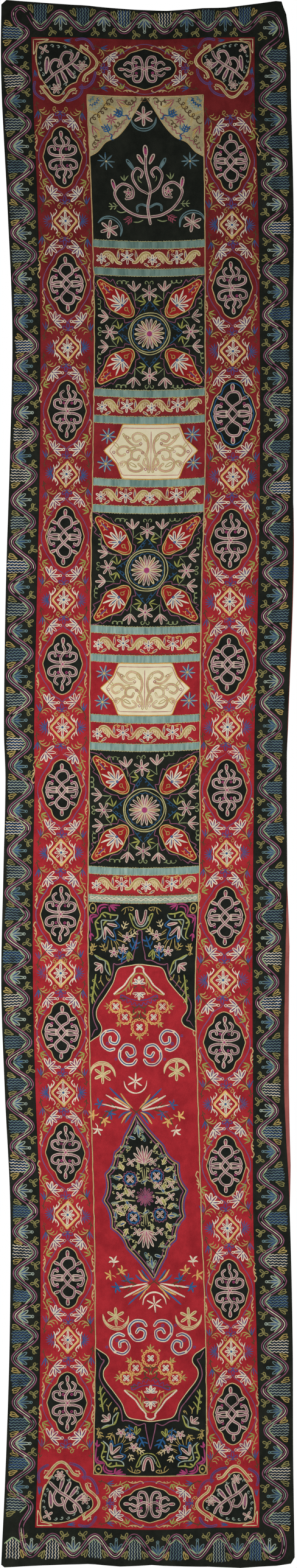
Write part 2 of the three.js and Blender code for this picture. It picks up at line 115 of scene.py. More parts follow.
# Levels of the red border, the centre column and its ribbons
RED_TOP, RED_BOTTOM, RED_JOIN = 51, 2914, 1405
CENTRE_TOP, CENTRE_BOTTOM = 161, 2811
CENTRE_MIDDLE = (CENTRE_LEFT + CENTRE_RIGHT) / 2
RIBBON_WIDE = 14
RIBBONS = [446, 499, 732, 783, 904, 955, 1187, 1242, 1358, 1412, 1650, 1704]
SEAM = 0.15
FELT_INSET = 1
FELT_LEFT, FELT_RIGHT = CENTRE_LEFT + FELT_INSET, CENTRE_RIGHT - FELT_INSET

# Lobed medallions of the side strips: left level, right level
MEDALLION_ROWS = [
    (282, 289), (525, 532), (769, 775), (1011, 1017), (1255, 1256), (1498, 1498),
    (1737, 1742), (1963, 1983), (2195, 2220), (2435, 2458), (2675, 2696),
]
MEDALLION_SIZE = (39, 60)
LARGE_ROW, LARGE_SIZE = 2, (45, 68)
STRIPS = {"left": (LEFT_SEAM + CENTRE_LEFT) / 2, "right": (CENTRE_RIGHT + RIGHT_SEAM) / 2}
# End medallions: name, across, down, half width, half height
END_MEDALLIONS = [("medallion_top", -3, 108, 59, 40), ("medallion_bottom", -4, 2865, 59, 36)]
# Corner medallions: name, across and down of the red corner, reach across, reach down
CORNERS = [
    ("medallion_corner_top_left", LEFT_SEAM, RED_TOP, 113, 113),
    ("medallion_corner_top_right", RIGHT_SEAM, RED_TOP, -105, 104),
    ("medallion_corner_bottom_left", LEFT_SEAM, RED_BOTTOM, 105, -114),
    ("medallion_corner_bottom_right", RIGHT_SEAM, RED_BOTTOM, -111, -107),
]

# Outlines of the laid-on felt as shares of their half sizes
LOBE_QUARTER = [
    (0, 1), (0.22, 0.95), (0.4, 0.85), (0.48, 0.73), (0.53, 0.63), (0.67, 0.55), (0.79, 0.45), (0.88, 0.26),
    (0.95, 0.12), (1, 0),
]
# The line that is sewn round a lobed medallion, in the same way, and how far it keeps off its sides and tips
ECHO_BESIDE, ECHO_BEYOND = 8, 14
ECHO_QUARTER = [
    (0, 1), (0.1, 0.92), (0.28, 0.86), (0.46, 0.76), (0.58, 0.61), (0.78, 0.43), (0.93, 0.24), (0.99, 0.1),
    (1, 0),
]
CORNER_HALF = [
    (0.12, 0.12), (0.34, 0.08), (0.54, 0.1), (0.73, 0.17), (0.86, 0.26), (0.97, 0.32), (1, 0.41), (0.97, 0.5),
    (0.86, 0.58), (0.79, 0.68),
]
CORNER_MIDDLE = (0.76, 0.76)
# The corner motifs are drawn for a medallion of this reach
CORNER_REACH = 113
HEXAGON_QUARTER = [(0, 1), (0.3, 1), (0.6, 1), (0.72, 0.46), (1, 0)]
# The hexagon's motif is drawn for this half height
HEXAGON_DRAWN = 54
HEXAGON_INNER = [(0, 1), (0.4, 1), (0.68, 1), (0.8, 0.48), (1, 0)]
NICHE_CURVE = [(0, 0), (0.12, 0.17), (0.31, 0.46), (0.5, 0.66), (0.7, 0.75), (0.85, 0.91), (1, 1)]
NICHE_DROP = 118
ARCH_CURVE = [
    (0, 0), (0.2, 0.02), (0.38, 0.045), (0.455, 0.11), (0.51, 0.23), (0.6, 0.33), (0.7, 0.43), (0.8, 0.52),
    (0.86, 0.61), (0.85, 0.7), (0.775, 0.78), (0.76, 0.845), (0.81, 0.91), (0.9, 0.95), (1, 1),
]
# Arches of the field: across, top, left leg, right leg
UPPER_ARCH = (-9, 1828, 1981, 1961)
LOWER_ARCH = (-3, 2706, 2569, 2567)
# Height of the lower arch's sprays as a share of the upper arch's
LOWER_SPRAYS = 0.89
FIELD_MEDALLION = (-7, 2275)
# Hexagons: across, half width, number of the ribbon above
HEXAGONS = [(0, 90, 3), (-3, 87, 7)]
# Squares: numbers of the ribbons below and above
SQUARES = [(2, 1), (6, 5), (10, 9)]
# Drops of a square: how far out they start and end on its diagonal, and then the share of the way in from
# the corner with the half width there
DROP_START, DROP_END = 139, 46
DROP_TABLE = [
    (0, 0), (0.015, 4.5), (0.1, 7.5), (0.3, 13), (0.48, 20.5), (0.62, 21.5), (0.8, 15), (0.93, 10.5), (1, 0),
]

# Thread colours
DYES = {
    "white": (230, 220, 196), "lilac": (122, 88, 128), "cream": (220, 202, 154), "gold": (222, 180, 108),
    "straw": (180, 158, 94), "olive": (160, 162, 86), "sage": (146, 158, 112), "blue": (58, 92, 144),
    "azure": (42, 96, 146), "violet": (96, 76, 132), "plum": (112, 60, 92), "mauve": (146, 88, 114),
    "magenta": (172, 66, 118), "rose": (166, 84, 102), "blush": (212, 190, 174), "mist": (162, 176, 162),
    "slate": (104, 132, 136), "bark": (92, 68, 46), "sand": (206, 178, 126), "amber": (222, 158, 66),
    "navy": (52, 70, 98), "heather": (146, 86, 114), "celadon": (160, 184, 140), "honey": (214, 184, 110),
    "biscuit": (184, 166, 118), "cobalt": (78, 82, 146), "reed": (186, 180, 128), "moss": (144, 138, 86),
    "shell": (196, 130, 124), "teal": (42, 84, 118), "wheat": (200, 180, 126), "petal": (214, 160, 150),
}
# Widths of a row of stitches
FINE, USUAL, BOLD = 1.7, 2.3, 3.1


# Shapes on the flat cloth

def eased(points, closed=False, steps=7):
    """A smooth line through given points."""
    points = np.asarray(points, float)
    if len(points) < 3:
        return points
    if closed:
        run = np.vstack([points[-1], points, points[:2]])
    else:
        run = np.vstack([2 * points[0] - points[1], points, 2 * points[-1] - points[-2]])
    a, b, c, d = run[:-3], run[1:-2], run[2:-1], run[3:]
    t = (np.arange(steps) / steps)[:, None, None]
    line = 0.5 * (2 * b + (c - a) * t + (2 * a - 5 * b + 4 * c - d) * t**2 + (3 * b - a - 3 * c + d) * t**3)
    line = line.transpose(1, 0, 2).reshape(-1, 2)
    return line if closed else np.vstack([line, points[-1]])


def ahead_of(line, closed):
    """Unit directions along a line."""
    step = np.roll(line, -1, 0) - np.roll(line, 1, 0) if closed else np.gradient(line, axis=0)
    return step / np.maximum(np.hypot(step[:, 0], step[:, 1]), 1e-6)[:, None]


def beside(line, by, closed=False):
    """A line that keeps its distance from another."""
    ahead = ahead_of(np.asarray(line, float), closed)
    return line + np.column_stack([-ahead[:, 1], ahead[:, 0]]) * np.reshape(by, (-1, 1))


def evened(line, step):
    """Points at even distances along an open line."""
    line = np.asarray(line, float)
    along = np.concatenate([[0], np.cumsum(np.hypot(*np.diff(line, axis=0).T))])
    places = np.linspace(0, along[-1], max(2, round(along[-1] / step) + 1))
    return np.column_stack([np.interp(places, along, line[:, k]) for k in (0, 1)])


def zigzag(points, pitch, high):
    """A line that jumps from side to side."""
    line = evened(points, pitch / 2)
    sides = np.where(np.arange(len(line)) % 2, high / 2, -high / 2)
    return beside(line, sides)


def wavy(points, pitch, high):
    """A line that swings softly from side to side."""
    line = evened(points, pitch / 4)
    return beside(line, high / 2 * np.sin(np.arange(len(line)) * math.pi / 2))


def looped(points, pitch, radius):
    """A tendril that curls over itself at every pitch."""
    steps = 9
    line = evened(points, pitch / steps)
    ahead = ahead_of(line, False)
    turn = np.arange(len(line)) * 2 * math.pi / steps
    side = np.column_stack([-ahead[:, 1], ahead[:, 0]])
    return line + radius * (ahead * np.sin(turn)[:, None] + side * np.cos(turn)[:, None])


def ring(radius, start=0, end=360, squash=1.0):
    """Part of a circle, in degrees clockwise from the right."""
    count = max(4, round(abs(end - start) / 30) + 1)
    turn = np.radians(np.linspace(start, end, count))
    points = np.column_stack([np.cos(turn) * radius, np.sin(turn) * radius * squash])
    return points[:-1] if abs(end - start) == 360 else points


def petal(length, wide):
    """A drop that starts at its pointed foot and lies along the right."""
    turn = np.linspace(0, 2 * math.pi, 10, endpoint=False)
    out = (1 - np.cos(turn)) / 2
    return np.column_stack([out * length, wide / 2 * np.sin(turn) * (0.6 + 0.5 * out)])


def quartered(quarter, across, down, half_wide, half_tall):
    """An outline from one quarter of it, clockwise from its top."""
    first = np.array(quarter, float)
    right = np.vstack([first, first[-2::-1] * (1, -1)])
    whole = np.vstack([right, right[-2:0:-1] * (-1, 1)])
    return np.column_stack([across + whole[:, 0] * half_wide, down - whole[:, 1] * half_tall])


def cornered(across, down, reach_across, reach_down):
    """The outline of a corner medallion."""
    other = [(b, a) for a, b in CORNER_HALF[:0:-1]]
    shares = np.array([*CORNER_HALF, CORNER_MIDDLE, *other])
    return shares * (reach_across, reach_down) + (across, down)


def arch_line(arch):
    """The edge of the field below or above an arch, from its left leg to its right leg."""
    across, top, left_leg, right_leg = arch
    curve = np.array(ARCH_CURVE)
    left = curve * (FELT_LEFT - across, left_leg - top) + (across, top)
    right = curve * (FELT_RIGHT - across, right_leg - top) + (across, top)
    return eased(np.vstack([left[:0:-1], right]), steps=3)


def niche_line(side):
    """The edge of a spandrel from the niche's point down to one side."""
    point = CENTRE_MIDDLE + math.copysign(1, side - CENTRE_MIDDLE)
    return np.array(NICHE_CURVE) * (side - point, NICHE_DROP) + (point, CENTRE_TOP + FELT_INSET)


# Hanging the flat cloth

def between(places, values, place):
    """Smooth values between the rows of a table."""
    i = np.clip(np.searchsorted(places, place) - 1, 0, len(places) - 2)
    before, after = np.maximum(i - 1, 0), np.minimum(i + 2, len(places) - 1)
    span = places[i + 1] - places[i]
    f = np.clip((place - places[i]) / span, 0, 1)
    slope_a = (values[i + 1] - values[before]) / (places[i + 1] - places[before]) * span
    slope_b = (values[after] - values[i]) / (places[after] - places[i]) * span
    return (
        (2 * f**3 - 3 * f**2 + 1) * values[i] + (f**3 - 2 * f**2 + f) * slope_a
        + (3 * f**2 - 2 * f**3) * values[i + 1] + (f**3 - f**2) * slope_b
    )


def hang(flat, forward):
    """Where flat places hang, in metres, standing forward of the lining by a value in millimetres."""
    across, down = np.asarray(flat, float).T
    k = np.clip(np.searchsorted(COLUMNS, across) - 1, 0, len(COLUMNS) - 2)
    lines = np.array([between(HUNG_ROWS[:, 0], HUNG_ROWS[:, c + 1], down) for c in range(len(COLUMNS))])
    every = np.arange(len(across))
    share = (across - COLUMNS[k]) / (COLUMNS[k + 1] - COLUMNS[k])
    x = lines[k, every] + share * (lines[k + 1, every] - lines[k, every])
    half = (CENTRE_RIGHT - CENTRE_LEFT) / 2
    sag = BROAD_SAG * (1 - (across / RIGHT_EDGE) ** 2)
    sag += CENTRE_SAG * np.maximum(0, 1 - ((across - CENTRE_MIDDLE) / half) ** 2)
    z = -down - sag
    out = np.zeros(len(across)) + forward
    for fold_down, side, rise, tall in FOLDS:
        reach = 1 if side == 0 else np.clip(0.5 + 0.5 * side * x / RIGHT_EDGE, 0, 1) ** 2
        out += rise * reach * np.exp(-(((-z - fold_down) / tall) ** 2))
    for at_across, at_down, turn, half_long, half_wide, rise in CREASES:
        c, s = math.cos(math.radians(turn)), math.sin(math.radians(turn))
        u = (across - at_across) * c + (down - at_down) * s
        v = (down - at_down) * c - (across - at_across) * s
        out += rise * np.exp(-((u / half_long) ** 4) - (v / half_wide) ** 2)
    for wave_across, wave_down, phase, high in PUCKERS:
        out += high * np.sin(2 * math.pi * (across / wave_across + down / wave_down) + phase)
    return np.column_stack([x, -out, z]) * MM


# Finishes

class Strand:
    """A shader value that adds Math nodes when it is used in sums."""

    def __init__(self, finish, socket):
        self.finish = finish
        self.socket = socket

    def sum(self, operation, first, second):
        return self.finish.node("ShaderNodeMath", {"operation": operation}, {0: first, 1: second})

    def __add__(self, other):
        return self.sum("ADD", self, other)

    def __sub__(self, other):
        return self.sum("SUBTRACT", self, other)

    def __rsub__(self, other):
        return self.sum("SUBTRACT", other, self)

    def __mul__(self, other):
        return self.sum("MULTIPLY", self, other)

    def size(self):
        return self.sum("ABSOLUTE", self, 0)

    def wave(self):
        return self.sum("SINE", self, 0)

    __radd__ = __add__
    __rmul__ = __mul__


def dye(red, green, blue):
    """A colour as the eye reads it, in the linear numbers of a shader."""
    shares = np.array([red, green, blue]) / 255
    linear = np.where(shares <= 0.04045, shares / 12.92, ((shares + 0.055) / 1.055) ** 2.4)
    return (*map(float, linear), 1.0)


class Finish:
    """One material and the nodes of its shader."""

    def __init__(self, name, **constants):
        self.material = bpy.data.materials.new(name)
        self.material.use_nodes = True
        self.tree = self.material.node_tree
        self.shader = self.tree.nodes["Principled BSDF"]
        for socket, value in constants.items():
            self.shader.inputs[socket.replace("_", " ")].default_value = value

    def node(self, kind, settings, sockets, out=0):
        """Adds a node: its settings first, then the values or links of its sockets."""
        node = self.tree.nodes.new(kind)
        for name, value in settings.items():
            setattr(node, name, value)
        for name, value in sockets.items():
            if isinstance(value, Strand):
                self.tree.links.new(value.socket, node.inputs[name])
            else:
                node.inputs[name].default_value = value
        return Strand(self, node.outputs[out])

    def place(self):
        return self.node("ShaderNodeTexCoord", {}, {}, "Object")

    def flat(self):
        return self.node("ShaderNodeUVMap", {"uv_map": "flat"}, {})

    def noise(self, where, scale, detail=2.0, rough=0.5, stretch=None):
        if stretch:
            where = self.node("ShaderNodeMapping", {}, {"Vector": where, "Scale": stretch})
        sockets = {"Vector": where, "Scale": scale, "Detail": detail, "Roughness": rough}
        return self.node("ShaderNodeTexNoise", {}, sockets, "Fac")

    def part(self, vector, axis):
        return self.node("ShaderNodeSeparateXYZ", {}, {0: vector}, axis)

    def mix(self, share, first, second):
        settings = {"data_type": "RGBA"}
        return self.node("ShaderNodeMix", settings, {0: share, 6: first, 7: second}, 2)

    def toned(self, colour, tone):
        """A colour dimmed by a share for each of its channels."""
        return self.node("ShaderNodeVectorMath", {"operation": "MULTIPLY"}, {0: colour, 1: tone})

    def spread(self, value, low, high):
        """A value stretched from its range to 0 to 1, and held at both ends."""
        sockets = {0: value, 1: low, 2: high, 3: 0.0, 4: 1.0}
        return self.node("ShaderNodeMapRange", {"interpolation_type": "SMOOTHSTEP"}, sockets)

    def feed(self, socket, value):
        self.tree.links.new(value.socket, self.shader.inputs[socket])

    def bump(self, height, deep):
        sockets = {"Strength": 1.0, "Distance": deep, "Height": height}
        self.feed("Normal", self.node("ShaderNodeBump", {}, sockets))


def wool(name, deep, light, grain=1500, nap=0.00035, top_darkening=None):
    """Felted wool: fulled fibres, cloudy colour and paler specks where the nap has worn, and a colour that
    can darken towards the top.
    """
    cloth = Finish(name, Roughness=0.95, Sheen_Weight=0.02, Sheen_Roughness=0.5, Specular_IOR_Level=0.08)
    where = cloth.place()
    cloud = cloth.noise(where, 26, 5, 0.68)
    fibre = cloth.noise(where, grain, 2, 0.7)
    streak = cloth.noise(where, 420, 2, 0.6, (1.0, 1.0, 0.22))
    shade = cloth.spread(cloud, 0.32, 0.7) * 0.45 + cloth.spread(fibre, 0.3, 0.7) * 0.35 + streak * 0.2
    colour = cloth.mix(shade, dye(*deep), dye(*light))
    # The colour is darkened towards the top of the hanging, in tones that fade out between the given levels
    if top_darkening:
        tones, levels = top_darkening
        down = cloth.part(where, "Z") * (-1 / MM)
        ripple = down + (cloth.noise(where, 5, 2) - 0.5) * 130
        for tone, (start, end) in zip(tones, levels):
            above = 1 - cloth.spread(ripple, start, end)
            colour = cloth.mix(above, colour, cloth.toned(colour, tone))
    cloth.feed("Base Color", colour)
    cloth.bump(fibre * 0.6 + streak * 0.25 + cloud * 0.5, nap)
    return cloth.material


# Darkening of the silk towards its top: its tone, and between which heights in metres it sets in
TOP_DARKENING_TONE = (0.68, 0.72, 0.7)
TOP_DARKENING_LEVELS = (-1.1, -0.5)


def silk(name, deep, light):
    """Ribbon silk: fine warp lines, soft gloss, painted shade in its gathers, and a colour that darkens where
    it hangs highest.
    """
    cloth = Finish(name, Sheen_Weight=0.1, Sheen_Roughness=0.3, Specular_IOR_Level=0.35)
    where = cloth.flat()
    rib = (cloth.part(where, "X") * (2 * math.pi / (0.7 * MM))).wave()
    fade = cloth.noise(where, 40, 4, 0.6, (1.0, 0.35, 1.0))
    # Gathers: relief for the bump, and painted shade that darkens the colour in bands across the ribbon
    gather_relief_and_shade = cloth.noise(where, 170, 2, 0.5, (1.0, 0.1, 1.0))
    fray = cloth.noise(where, 900, 2, 0.6, (1.0, 0.2, 1.0))
    shade = cloth.spread(fade, 0.28, 0.72) * 0.35 + cloth.spread(gather_relief_and_shade, 0.3, 0.66) * 0.45 + fray * 0.2
    colour = cloth.mix(shade, dye(*deep), dye(*light))
    # The silk's colour is darkened where it hangs highest, fading out between these heights
    high = cloth.spread(cloth.part(where, "Y"), *TOP_DARKENING_LEVELS)
    cloth.feed("Base Color", cloth.mix(high, colour, cloth.toned(colour, TOP_DARKENING_TONE)))
    cloth.feed("Roughness", 0.5 + fray * 0.25)
    cloth.bump(rib * 0.3 + fray + gather_relief_and_shade * 2, 0.0003)
    return cloth.material


def cotton(name, deep, light):
    """Plain-woven lining cotton with slubs and a little dust."""
    cloth = Finish(name, Roughness=0.9, Sheen_Weight=0.05, Specular_IOR_Level=0.2)
    where = cloth.flat()
    thread = 2 * math.pi / (1.1 * MM)
    over = (cloth.part(where, "X") * thread).wave() * (cloth.part(where, "Y") * thread).wave()
    slubs = [cloth.noise(where, 260, 3, 0.6, stretch) for stretch in ((1.0, 0.08, 1.0), (0.08, 1.0, 1.0))]
    slub = slubs[0] + slubs[1]
    dust = cloth.noise(where, 9, 5, 0.62)
    shade = cloth.spread(dust, 0.3, 0.7) * 0.5 + slub * 0.2 + over * 0.08 + 0.05
    cloth.feed("Base Color", cloth.mix(shade, dye(*deep), dye(*light)))
    cloth.bump(over * 0.5 + slub, 0.0003)
    return cloth.material


def chain_thread(name):
    """Chain stitch: the row's own dye with painted shade darkening it between the links, and the links as
    bump along it.
    """
    yarn = Finish(name, Roughness=0.8, Sheen_Weight=0.04, Sheen_Roughness=0.4, Specular_IOR_Level=0.18)
    colour = yarn.node("ShaderNodeAttribute", {"attribute_name": "dye"}, {}, "Color")
    run = yarn.node("ShaderNodeUVMap", {"uv_map": "stitch"}, {})
    along, side = yarn.part(run, "X"), yarn.part(run, "Y")
    slant = (along + (side - 0.5).size() * 0.8) * (2 * math.pi)
    link = slant.wave() * 0.5 + 0.5
    ply = yarn.noise(run, 14, 2, 0.6, (1.0, 3.0, 1.0))
    # Painted shade: the dye is darkened to this tone in the hollows between the links, with a little random
    # ply tone mixed in
    dark = yarn.toned(colour, (0.8, 0.78, 0.76))
    yarn.feed("Base Color", yarn.mix(link * 0.75 + ply * 0.25, dark, colour))
    yarn.bump(link + ply * 0.4, 0.0003)
    return yarn.material


# The red cloth is darkest at its top: tone, then the levels where it goes over to the cloth's own red
RED_TOP_DARKENING = ([(0.72, 0.92, 0.8), (0.68, 0.96, 0.86)], [(380, 860), (760, 1300)])
BLACK_WOOL = wool("black_wool", (14, 18, 15), (42, 45, 38))
BLACK_FELT = wool("black_felt", (12, 16, 14), (38, 41, 36), 1900, 0.00025)
RED_WOOL = wool("red_wool", (124, 24, 32), (186, 48, 56), 1300, 0.0004, RED_TOP_DARKENING)
RED_FELT = wool("red_felt", (118, 20, 24), (172, 40, 42), 1900, 0.00025)
BEIGE_FELT = wool("beige_felt", (128, 118, 82), (216, 202, 158), 900, 0.0004)
CREAM_FELT = wool("cream_felt", (212, 201, 163), (238, 229, 198), 1500, 0.0003)
TEAL_SILK = silk("teal_silk", (84, 120, 114), (166, 194, 182))
PALE_SILK = silk("pale_teal_silk", (112, 136, 120), (180, 192, 168))
LINING_COTTON = cotton("lining_cotton", (137, 66, 63), (193, 112, 102))
THREAD = chain_thread("chain_thread")


# Cloth pieces

def flat_cut(name, outline, rim, cells, opening=None):
    """A flat cut of cloth with a rim line and a grid, and its opening taken out."""
    outline = np.asarray(outline, float)
    mesh = bpy.data.meshes.new(name)
    mesh.from_pydata([(a, -d, 0) for a, d in outline], [], [range(len(outline))])
    cut = bpy.data.objects.new(name, mesh)
    bpy.context.collection.objects.link(cut)
    bpy.context.view_layer.objects.active = cut
    cut.select_set(True)
    bpy.ops.object.mode_set(mode="EDIT")
    if opening:
        left, right, top, bottom = opening
        for place, normal in [(left, (1, 0, 0)), (right, (1, 0, 0)), (top, (0, 1, 0)), (bottom, (0, 1, 0))]:
            at = (place, 0, 0) if normal[0] else (0, -place, 0)
            bpy.ops.mesh.select_all(action="SELECT")
            bpy.ops.mesh.bisect(plane_co=at, plane_no=normal)
        bpy.ops.object.mode_set(mode="OBJECT")
        for face in mesh.polygons:
            x, y = face.center[:2]
            face.select = left < x < right and top < -y < bottom
        bpy.ops.object.mode_set(mode="EDIT")
        bpy.ops.mesh.select_mode(type="FACE")
        bpy.ops.mesh.delete(type="FACE")
    bpy.ops.mesh.select_all(action="SELECT")
    bpy.ops.mesh.inset(thickness=rim, use_boundary=True)
    low, high = outline.min(0), outline.max(0)
    for axis, normal in ((0, (1, 0, 0)), (1, (0, 1, 0))):
        count = round((high[axis] - low[axis]) / cells[axis])
        for place in np.linspace(low[axis], high[axis], count + 1)[1:-1]:
            at = (place, 0, 0) if axis == 0 else (0, -place, 0)
            bpy.ops.mesh.select_all(action="SELECT")
            bpy.ops.mesh.bisect(plane_co=at, plane_no=normal)
    bpy.ops.object.mode_set(mode="OBJECT")
    cut.select_set(False)
    return cut


def rim_points(mesh):
    """Which points of a mesh lie on its free edges."""
    uses = np.zeros(len(mesh.edges), int)
    around = np.zeros(len(mesh.loops), int)
    mesh.loops.foreach_get("edge_index", around)
    np.add.at(uses, around, 1)
    ends = np.zeros(len(mesh.edges) * 2, int)
    mesh.edges.foreach_get("vertices", ends)
    free = np.zeros(len(mesh.vertices), bool)
    free[ends.reshape(-1, 2)[uses == 1].ravel()] = True
    return free


def cloth(name, outline, face, thick, material, slot, rests_on, cells=(14, 14), rim=1.6,
          rim_drop=0.35, relief=None, opening=None, flat=None, node=True):
    """Cuts a piece, hangs it on the folds and gives it its thickness towards the wall."""
    cut = flat_cut(name, outline, rim, cells, opening)
    mesh = cut.data
    count = len(mesh.vertices)
    points = np.zeros(count * 3)
    mesh.vertices.foreach_get("co", points)
    places = points.reshape(-1, 3)[:, :2] * (1, -1)
    forward = face - rim_drop * rim_points(mesh)
    if relief:
        forward = forward + relief(places)
    mesh.vertices.foreach_set("co", hang(places, forward).ravel())
    corners = np.zeros(len(mesh.loops), int)
    mesh.loops.foreach_get("vertex_index", corners)
    mesh.uv_layers.new(name="flat").data.foreach_set("uv", (places[corners] * (MM, -MM)).ravel())
    mesh.update()
    if mesh.polygons[0].normal.y > 0:
        mesh.flip_normals()
    mesh.materials.append(material)
    bpy.context.view_layer.objects.active = cut
    cut.select_set(True)
    layers = cut.modifiers.new("thickness", "SOLIDIFY")
    layers.thickness = thick * MM
    layers.offset = -1
    bpy.ops.object.modifier_apply(modifier=layers.name)
    bpy.ops.object.shade_smooth_by_angle(angle=SMOOTH_ANGLE)
    cut.select_set(False)
    wide, tall = np.ptp(outline, axis=0) * MM
    a, d = np.asarray(outline, float).T
    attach(cut, BODY)
    if node:
        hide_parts(name)
    if flat:
        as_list(rests_on)
    else:
        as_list(rests_on)


def box_line(left, right, top, bottom):
    return [(left, top), (right, top), (right, bottom), (left, bottom)]


def whole_outline(inset, right_out):
    """The outline of the whole hanging, drawn in by an inset and let out at the right."""
    top = [(a - math.copysign(inset, a), -rise + inset) for a, rise in TOP_EDGE]
    bottom = [(a - math.copysign(inset, a), level - inset) for a, level in BOTTOM_EDGE]
    levels = np.arange(*EDGE_LEVELS)
    right = [(RIGHT_EDGE + right_out(level), level) for level in levels]
    left = [(LEFT_EDGE + inset, level) for level in levels[::-1]]
    return [*top, *right, *bottom[::-1], *left]


def make_lining():
    peek = np.array(LINING_PEEK, float)
    outline = whole_outline(LINING_INSET, lambda level: float(np.interp(level, peek[:, 0], peek[:, 1])))
    cloth("lining", outline, LINING_FACE, LINING_THICK, LINING_COTTON, "lining_cotton", [], (26, 26), 3, 0)


def make_borders():
    hole = (LEFT_SEAM - SEAM, RIGHT_SEAM + SEAM, RED_TOP - SEAM, RED_BOTTOM + SEAM)
    outline = whole_outline(0, lambda level: 0)
    cloth("border_black", outline, PANEL_FACE, PANEL_THICK, BLACK_WOOL, "black_wool", ["lining"],
          rim=2.4, rim_drop=0.5, opening=hole, flat=BORDER_CUT)
    left, right = LEFT_SEAM + SEAM, RIGHT_SEAM - SEAM
    inner_left, inner_right = CENTRE_LEFT - SEAM, CENTRE_RIGHT + SEAM
    join = RED_JOIN - SEAM
    upper = [
        (left, RED_TOP + SEAM), (right, RED_TOP + SEAM), (right, join), (inner_right, join),
        (inner_right, CENTRE_TOP - SEAM), (inner_left, CENTRE_TOP - SEAM), (inner_left, join), (left, join),
    ]
    join = RED_JOIN + SEAM
    lower = [
        (left, join), (inner_left, join), (inner_left, CENTRE_BOTTOM + SEAM),
        (inner_right, CENTRE_BOTTOM + SEAM), (inner_right, join), (right, join),
        (right, RED_BOTTOM - SEAM), (left, RED_BOTTOM - SEAM),
    ]
    for name, outline in (("border_red_upper", upper), ("border_red_lower", lower)):
        cloth(name, outline, PANEL_FACE, PANEL_THICK, RED_WOOL, "red_wool", ["lining"])


def make_centre():
    # Name, cloth, top, bottom
    panels = [
        ("niche_ground", BLACK_WOOL, CENTRE_TOP, RIBBONS[0]),
        ("band_upper", RED_WOOL, RIBBONS[0], RIBBONS[1]),
        ("square_1", BLACK_WOOL, RIBBONS[1], RIBBONS[2]),
        ("red_panel_1", RED_WOOL, RIBBONS[2], RIBBONS[5]),
        ("square_2", BLACK_WOOL, RIBBONS[5], RIBBONS[6]),
        ("red_panel_2", RED_WOOL, RIBBONS[6], RIBBONS[9]),
        ("square_3", BLACK_WOOL, RIBBONS[9], RIBBONS[10]),
        ("band_lower", RED_WOOL, RIBBONS[10], RIBBONS[11]),
        ("field_ground", RED_WOOL, RIBBONS[11], CENTRE_BOTTOM),
    ]
    for name, material, top, bottom in panels:
        slot = "black_wool" if material is BLACK_WOOL else "red_wool"
        outline = box_line(CENTRE_LEFT + SEAM, CENTRE_RIGHT - SEAM, top + SEAM, bottom - SEAM)
        cloth(name, outline, PANEL_FACE, PANEL_THICK, material, slot, ["lining"])


def gathers(seed):
    """The crinkles that run across a ribbon, uneven along its length."""
    draw = np.random.default_rng(seed)
    # Pitch, phase and height of each wave
    waves = [(draw.uniform(4.5, 15), draw.uniform(0, 6.3), draw.uniform(0.18, 0.42)) for _ in range(6)]

    def relief(places):
        across, down = places.T
        rise = 0
        for pitch, phase, high in waves:
            rise = rise + high * np.sin(2 * math.pi * (across + 0.12 * down) / pitch + phase)
        bunched = 0.55 + 0.45 * np.sin(2 * math.pi * across / 67 + waves[0][1])
        ends = np.abs((across - CENTRE_MIDDLE) / (FELT_RIGHT - CENTRE_MIDDLE)) ** 4
        return np.clip(rise * (bunched + ends), -0.6, 1.6)

    return relief


def make_ribbons():
    draw = np.random.default_rng(12)
    count, uneven = 30, 0.35
    for number, level in enumerate(RIBBONS, start=1):
        left = FELT_LEFT + draw.uniform(-1.5, 0.5)
        right = FELT_RIGHT + draw.uniform(-0.5, 1.5)
        span = np.linspace(left, right, count)
        top = np.column_stack([span, level - RIBBON_WIDE / 2 + draw.normal(0, uneven, count)])
        bottom = np.column_stack([span, level + RIBBON_WIDE / 2 + draw.normal(0, uneven, count)])
        outline = np.vstack([top, bottom[::-1]])
        material = PALE_SILK if number == len(RIBBONS) else TEAL_SILK
        cloth(f"ribbon_{number:02d}", outline, FELT_FACE, FELT_THICK, material, "teal_silk", ["lining"],
              (1.8, 3.4), 1.0, 0.6, gathers(number))


def felt(name, outline, material, slot, node=True):
    """Cuts a piece of felt that is laid on the panels."""
    cloth(name, outline, FELT_FACE, FELT_THICK, material, slot, ["lining"], (14, 14), 1.2, 0.5, node=node)


def hexagon_shape(number):
    across, half_wide, above = HEXAGONS[number]
    top = RIBBONS[above] + RIBBON_WIDE / 2 + FELT_INSET
    bottom = RIBBONS[above + 1] - RIBBON_WIDE / 2 - FELT_INSET
    return across, (top + bottom) / 2, half_wide, (bottom - top) / 2


def medallion_shapes():
    """Every lobed medallion of the strips and ends: name, middle and half size."""
    for row, levels in enumerate(MEDALLION_ROWS):
        for side, level in zip(("left", "right"), levels):
            size = LARGE_SIZE if side == "right" and row == LARGE_ROW else MEDALLION_SIZE
            yield f"medallion_{side}_{row + 1:02d}", (STRIPS[side], level), size
    for name, across, down, half_wide, half_tall in END_MEDALLIONS:
        yield name, (across, down), (half_wide, half_tall)


def lobe(middle, size, more=0.0):
    """The outline of a lobed medallion, upright or lying, let out by a margin."""
    half_wide, half_tall = size
    upright = half_tall > half_wide
    quarter = LOBE_QUARTER if upright else [(b, a) for a, b in LOBE_QUARTER[::-1]]
    grow = (more, more * 1.6) if upright else (more * 1.6, more)
    return eased(quartered(quarter, *middle, half_wide + grow[0], half_tall + grow[1]), True, 3)


def drop_shape(middle, quadrant):
    """The outline of a drop that points from a corner of a square to its middle."""
    way = np.array(DROP_TABLE)
    out = DROP_START + (DROP_END - DROP_START) * way[:, 0]
    upper = np.column_stack([out, way[:, 1]])
    lower = np.column_stack([out, -way[:, 1]])[-2:0:-1]
    return Spot(*middle, 45 + 90 * quadrant)(eased(np.vstack([upper, lower]), True, 3))


def square_middle(number):
    below, above = SQUARES[number]
    return CENTRE_MIDDLE, (RIBBONS[above] + RIBBONS[below]) / 2


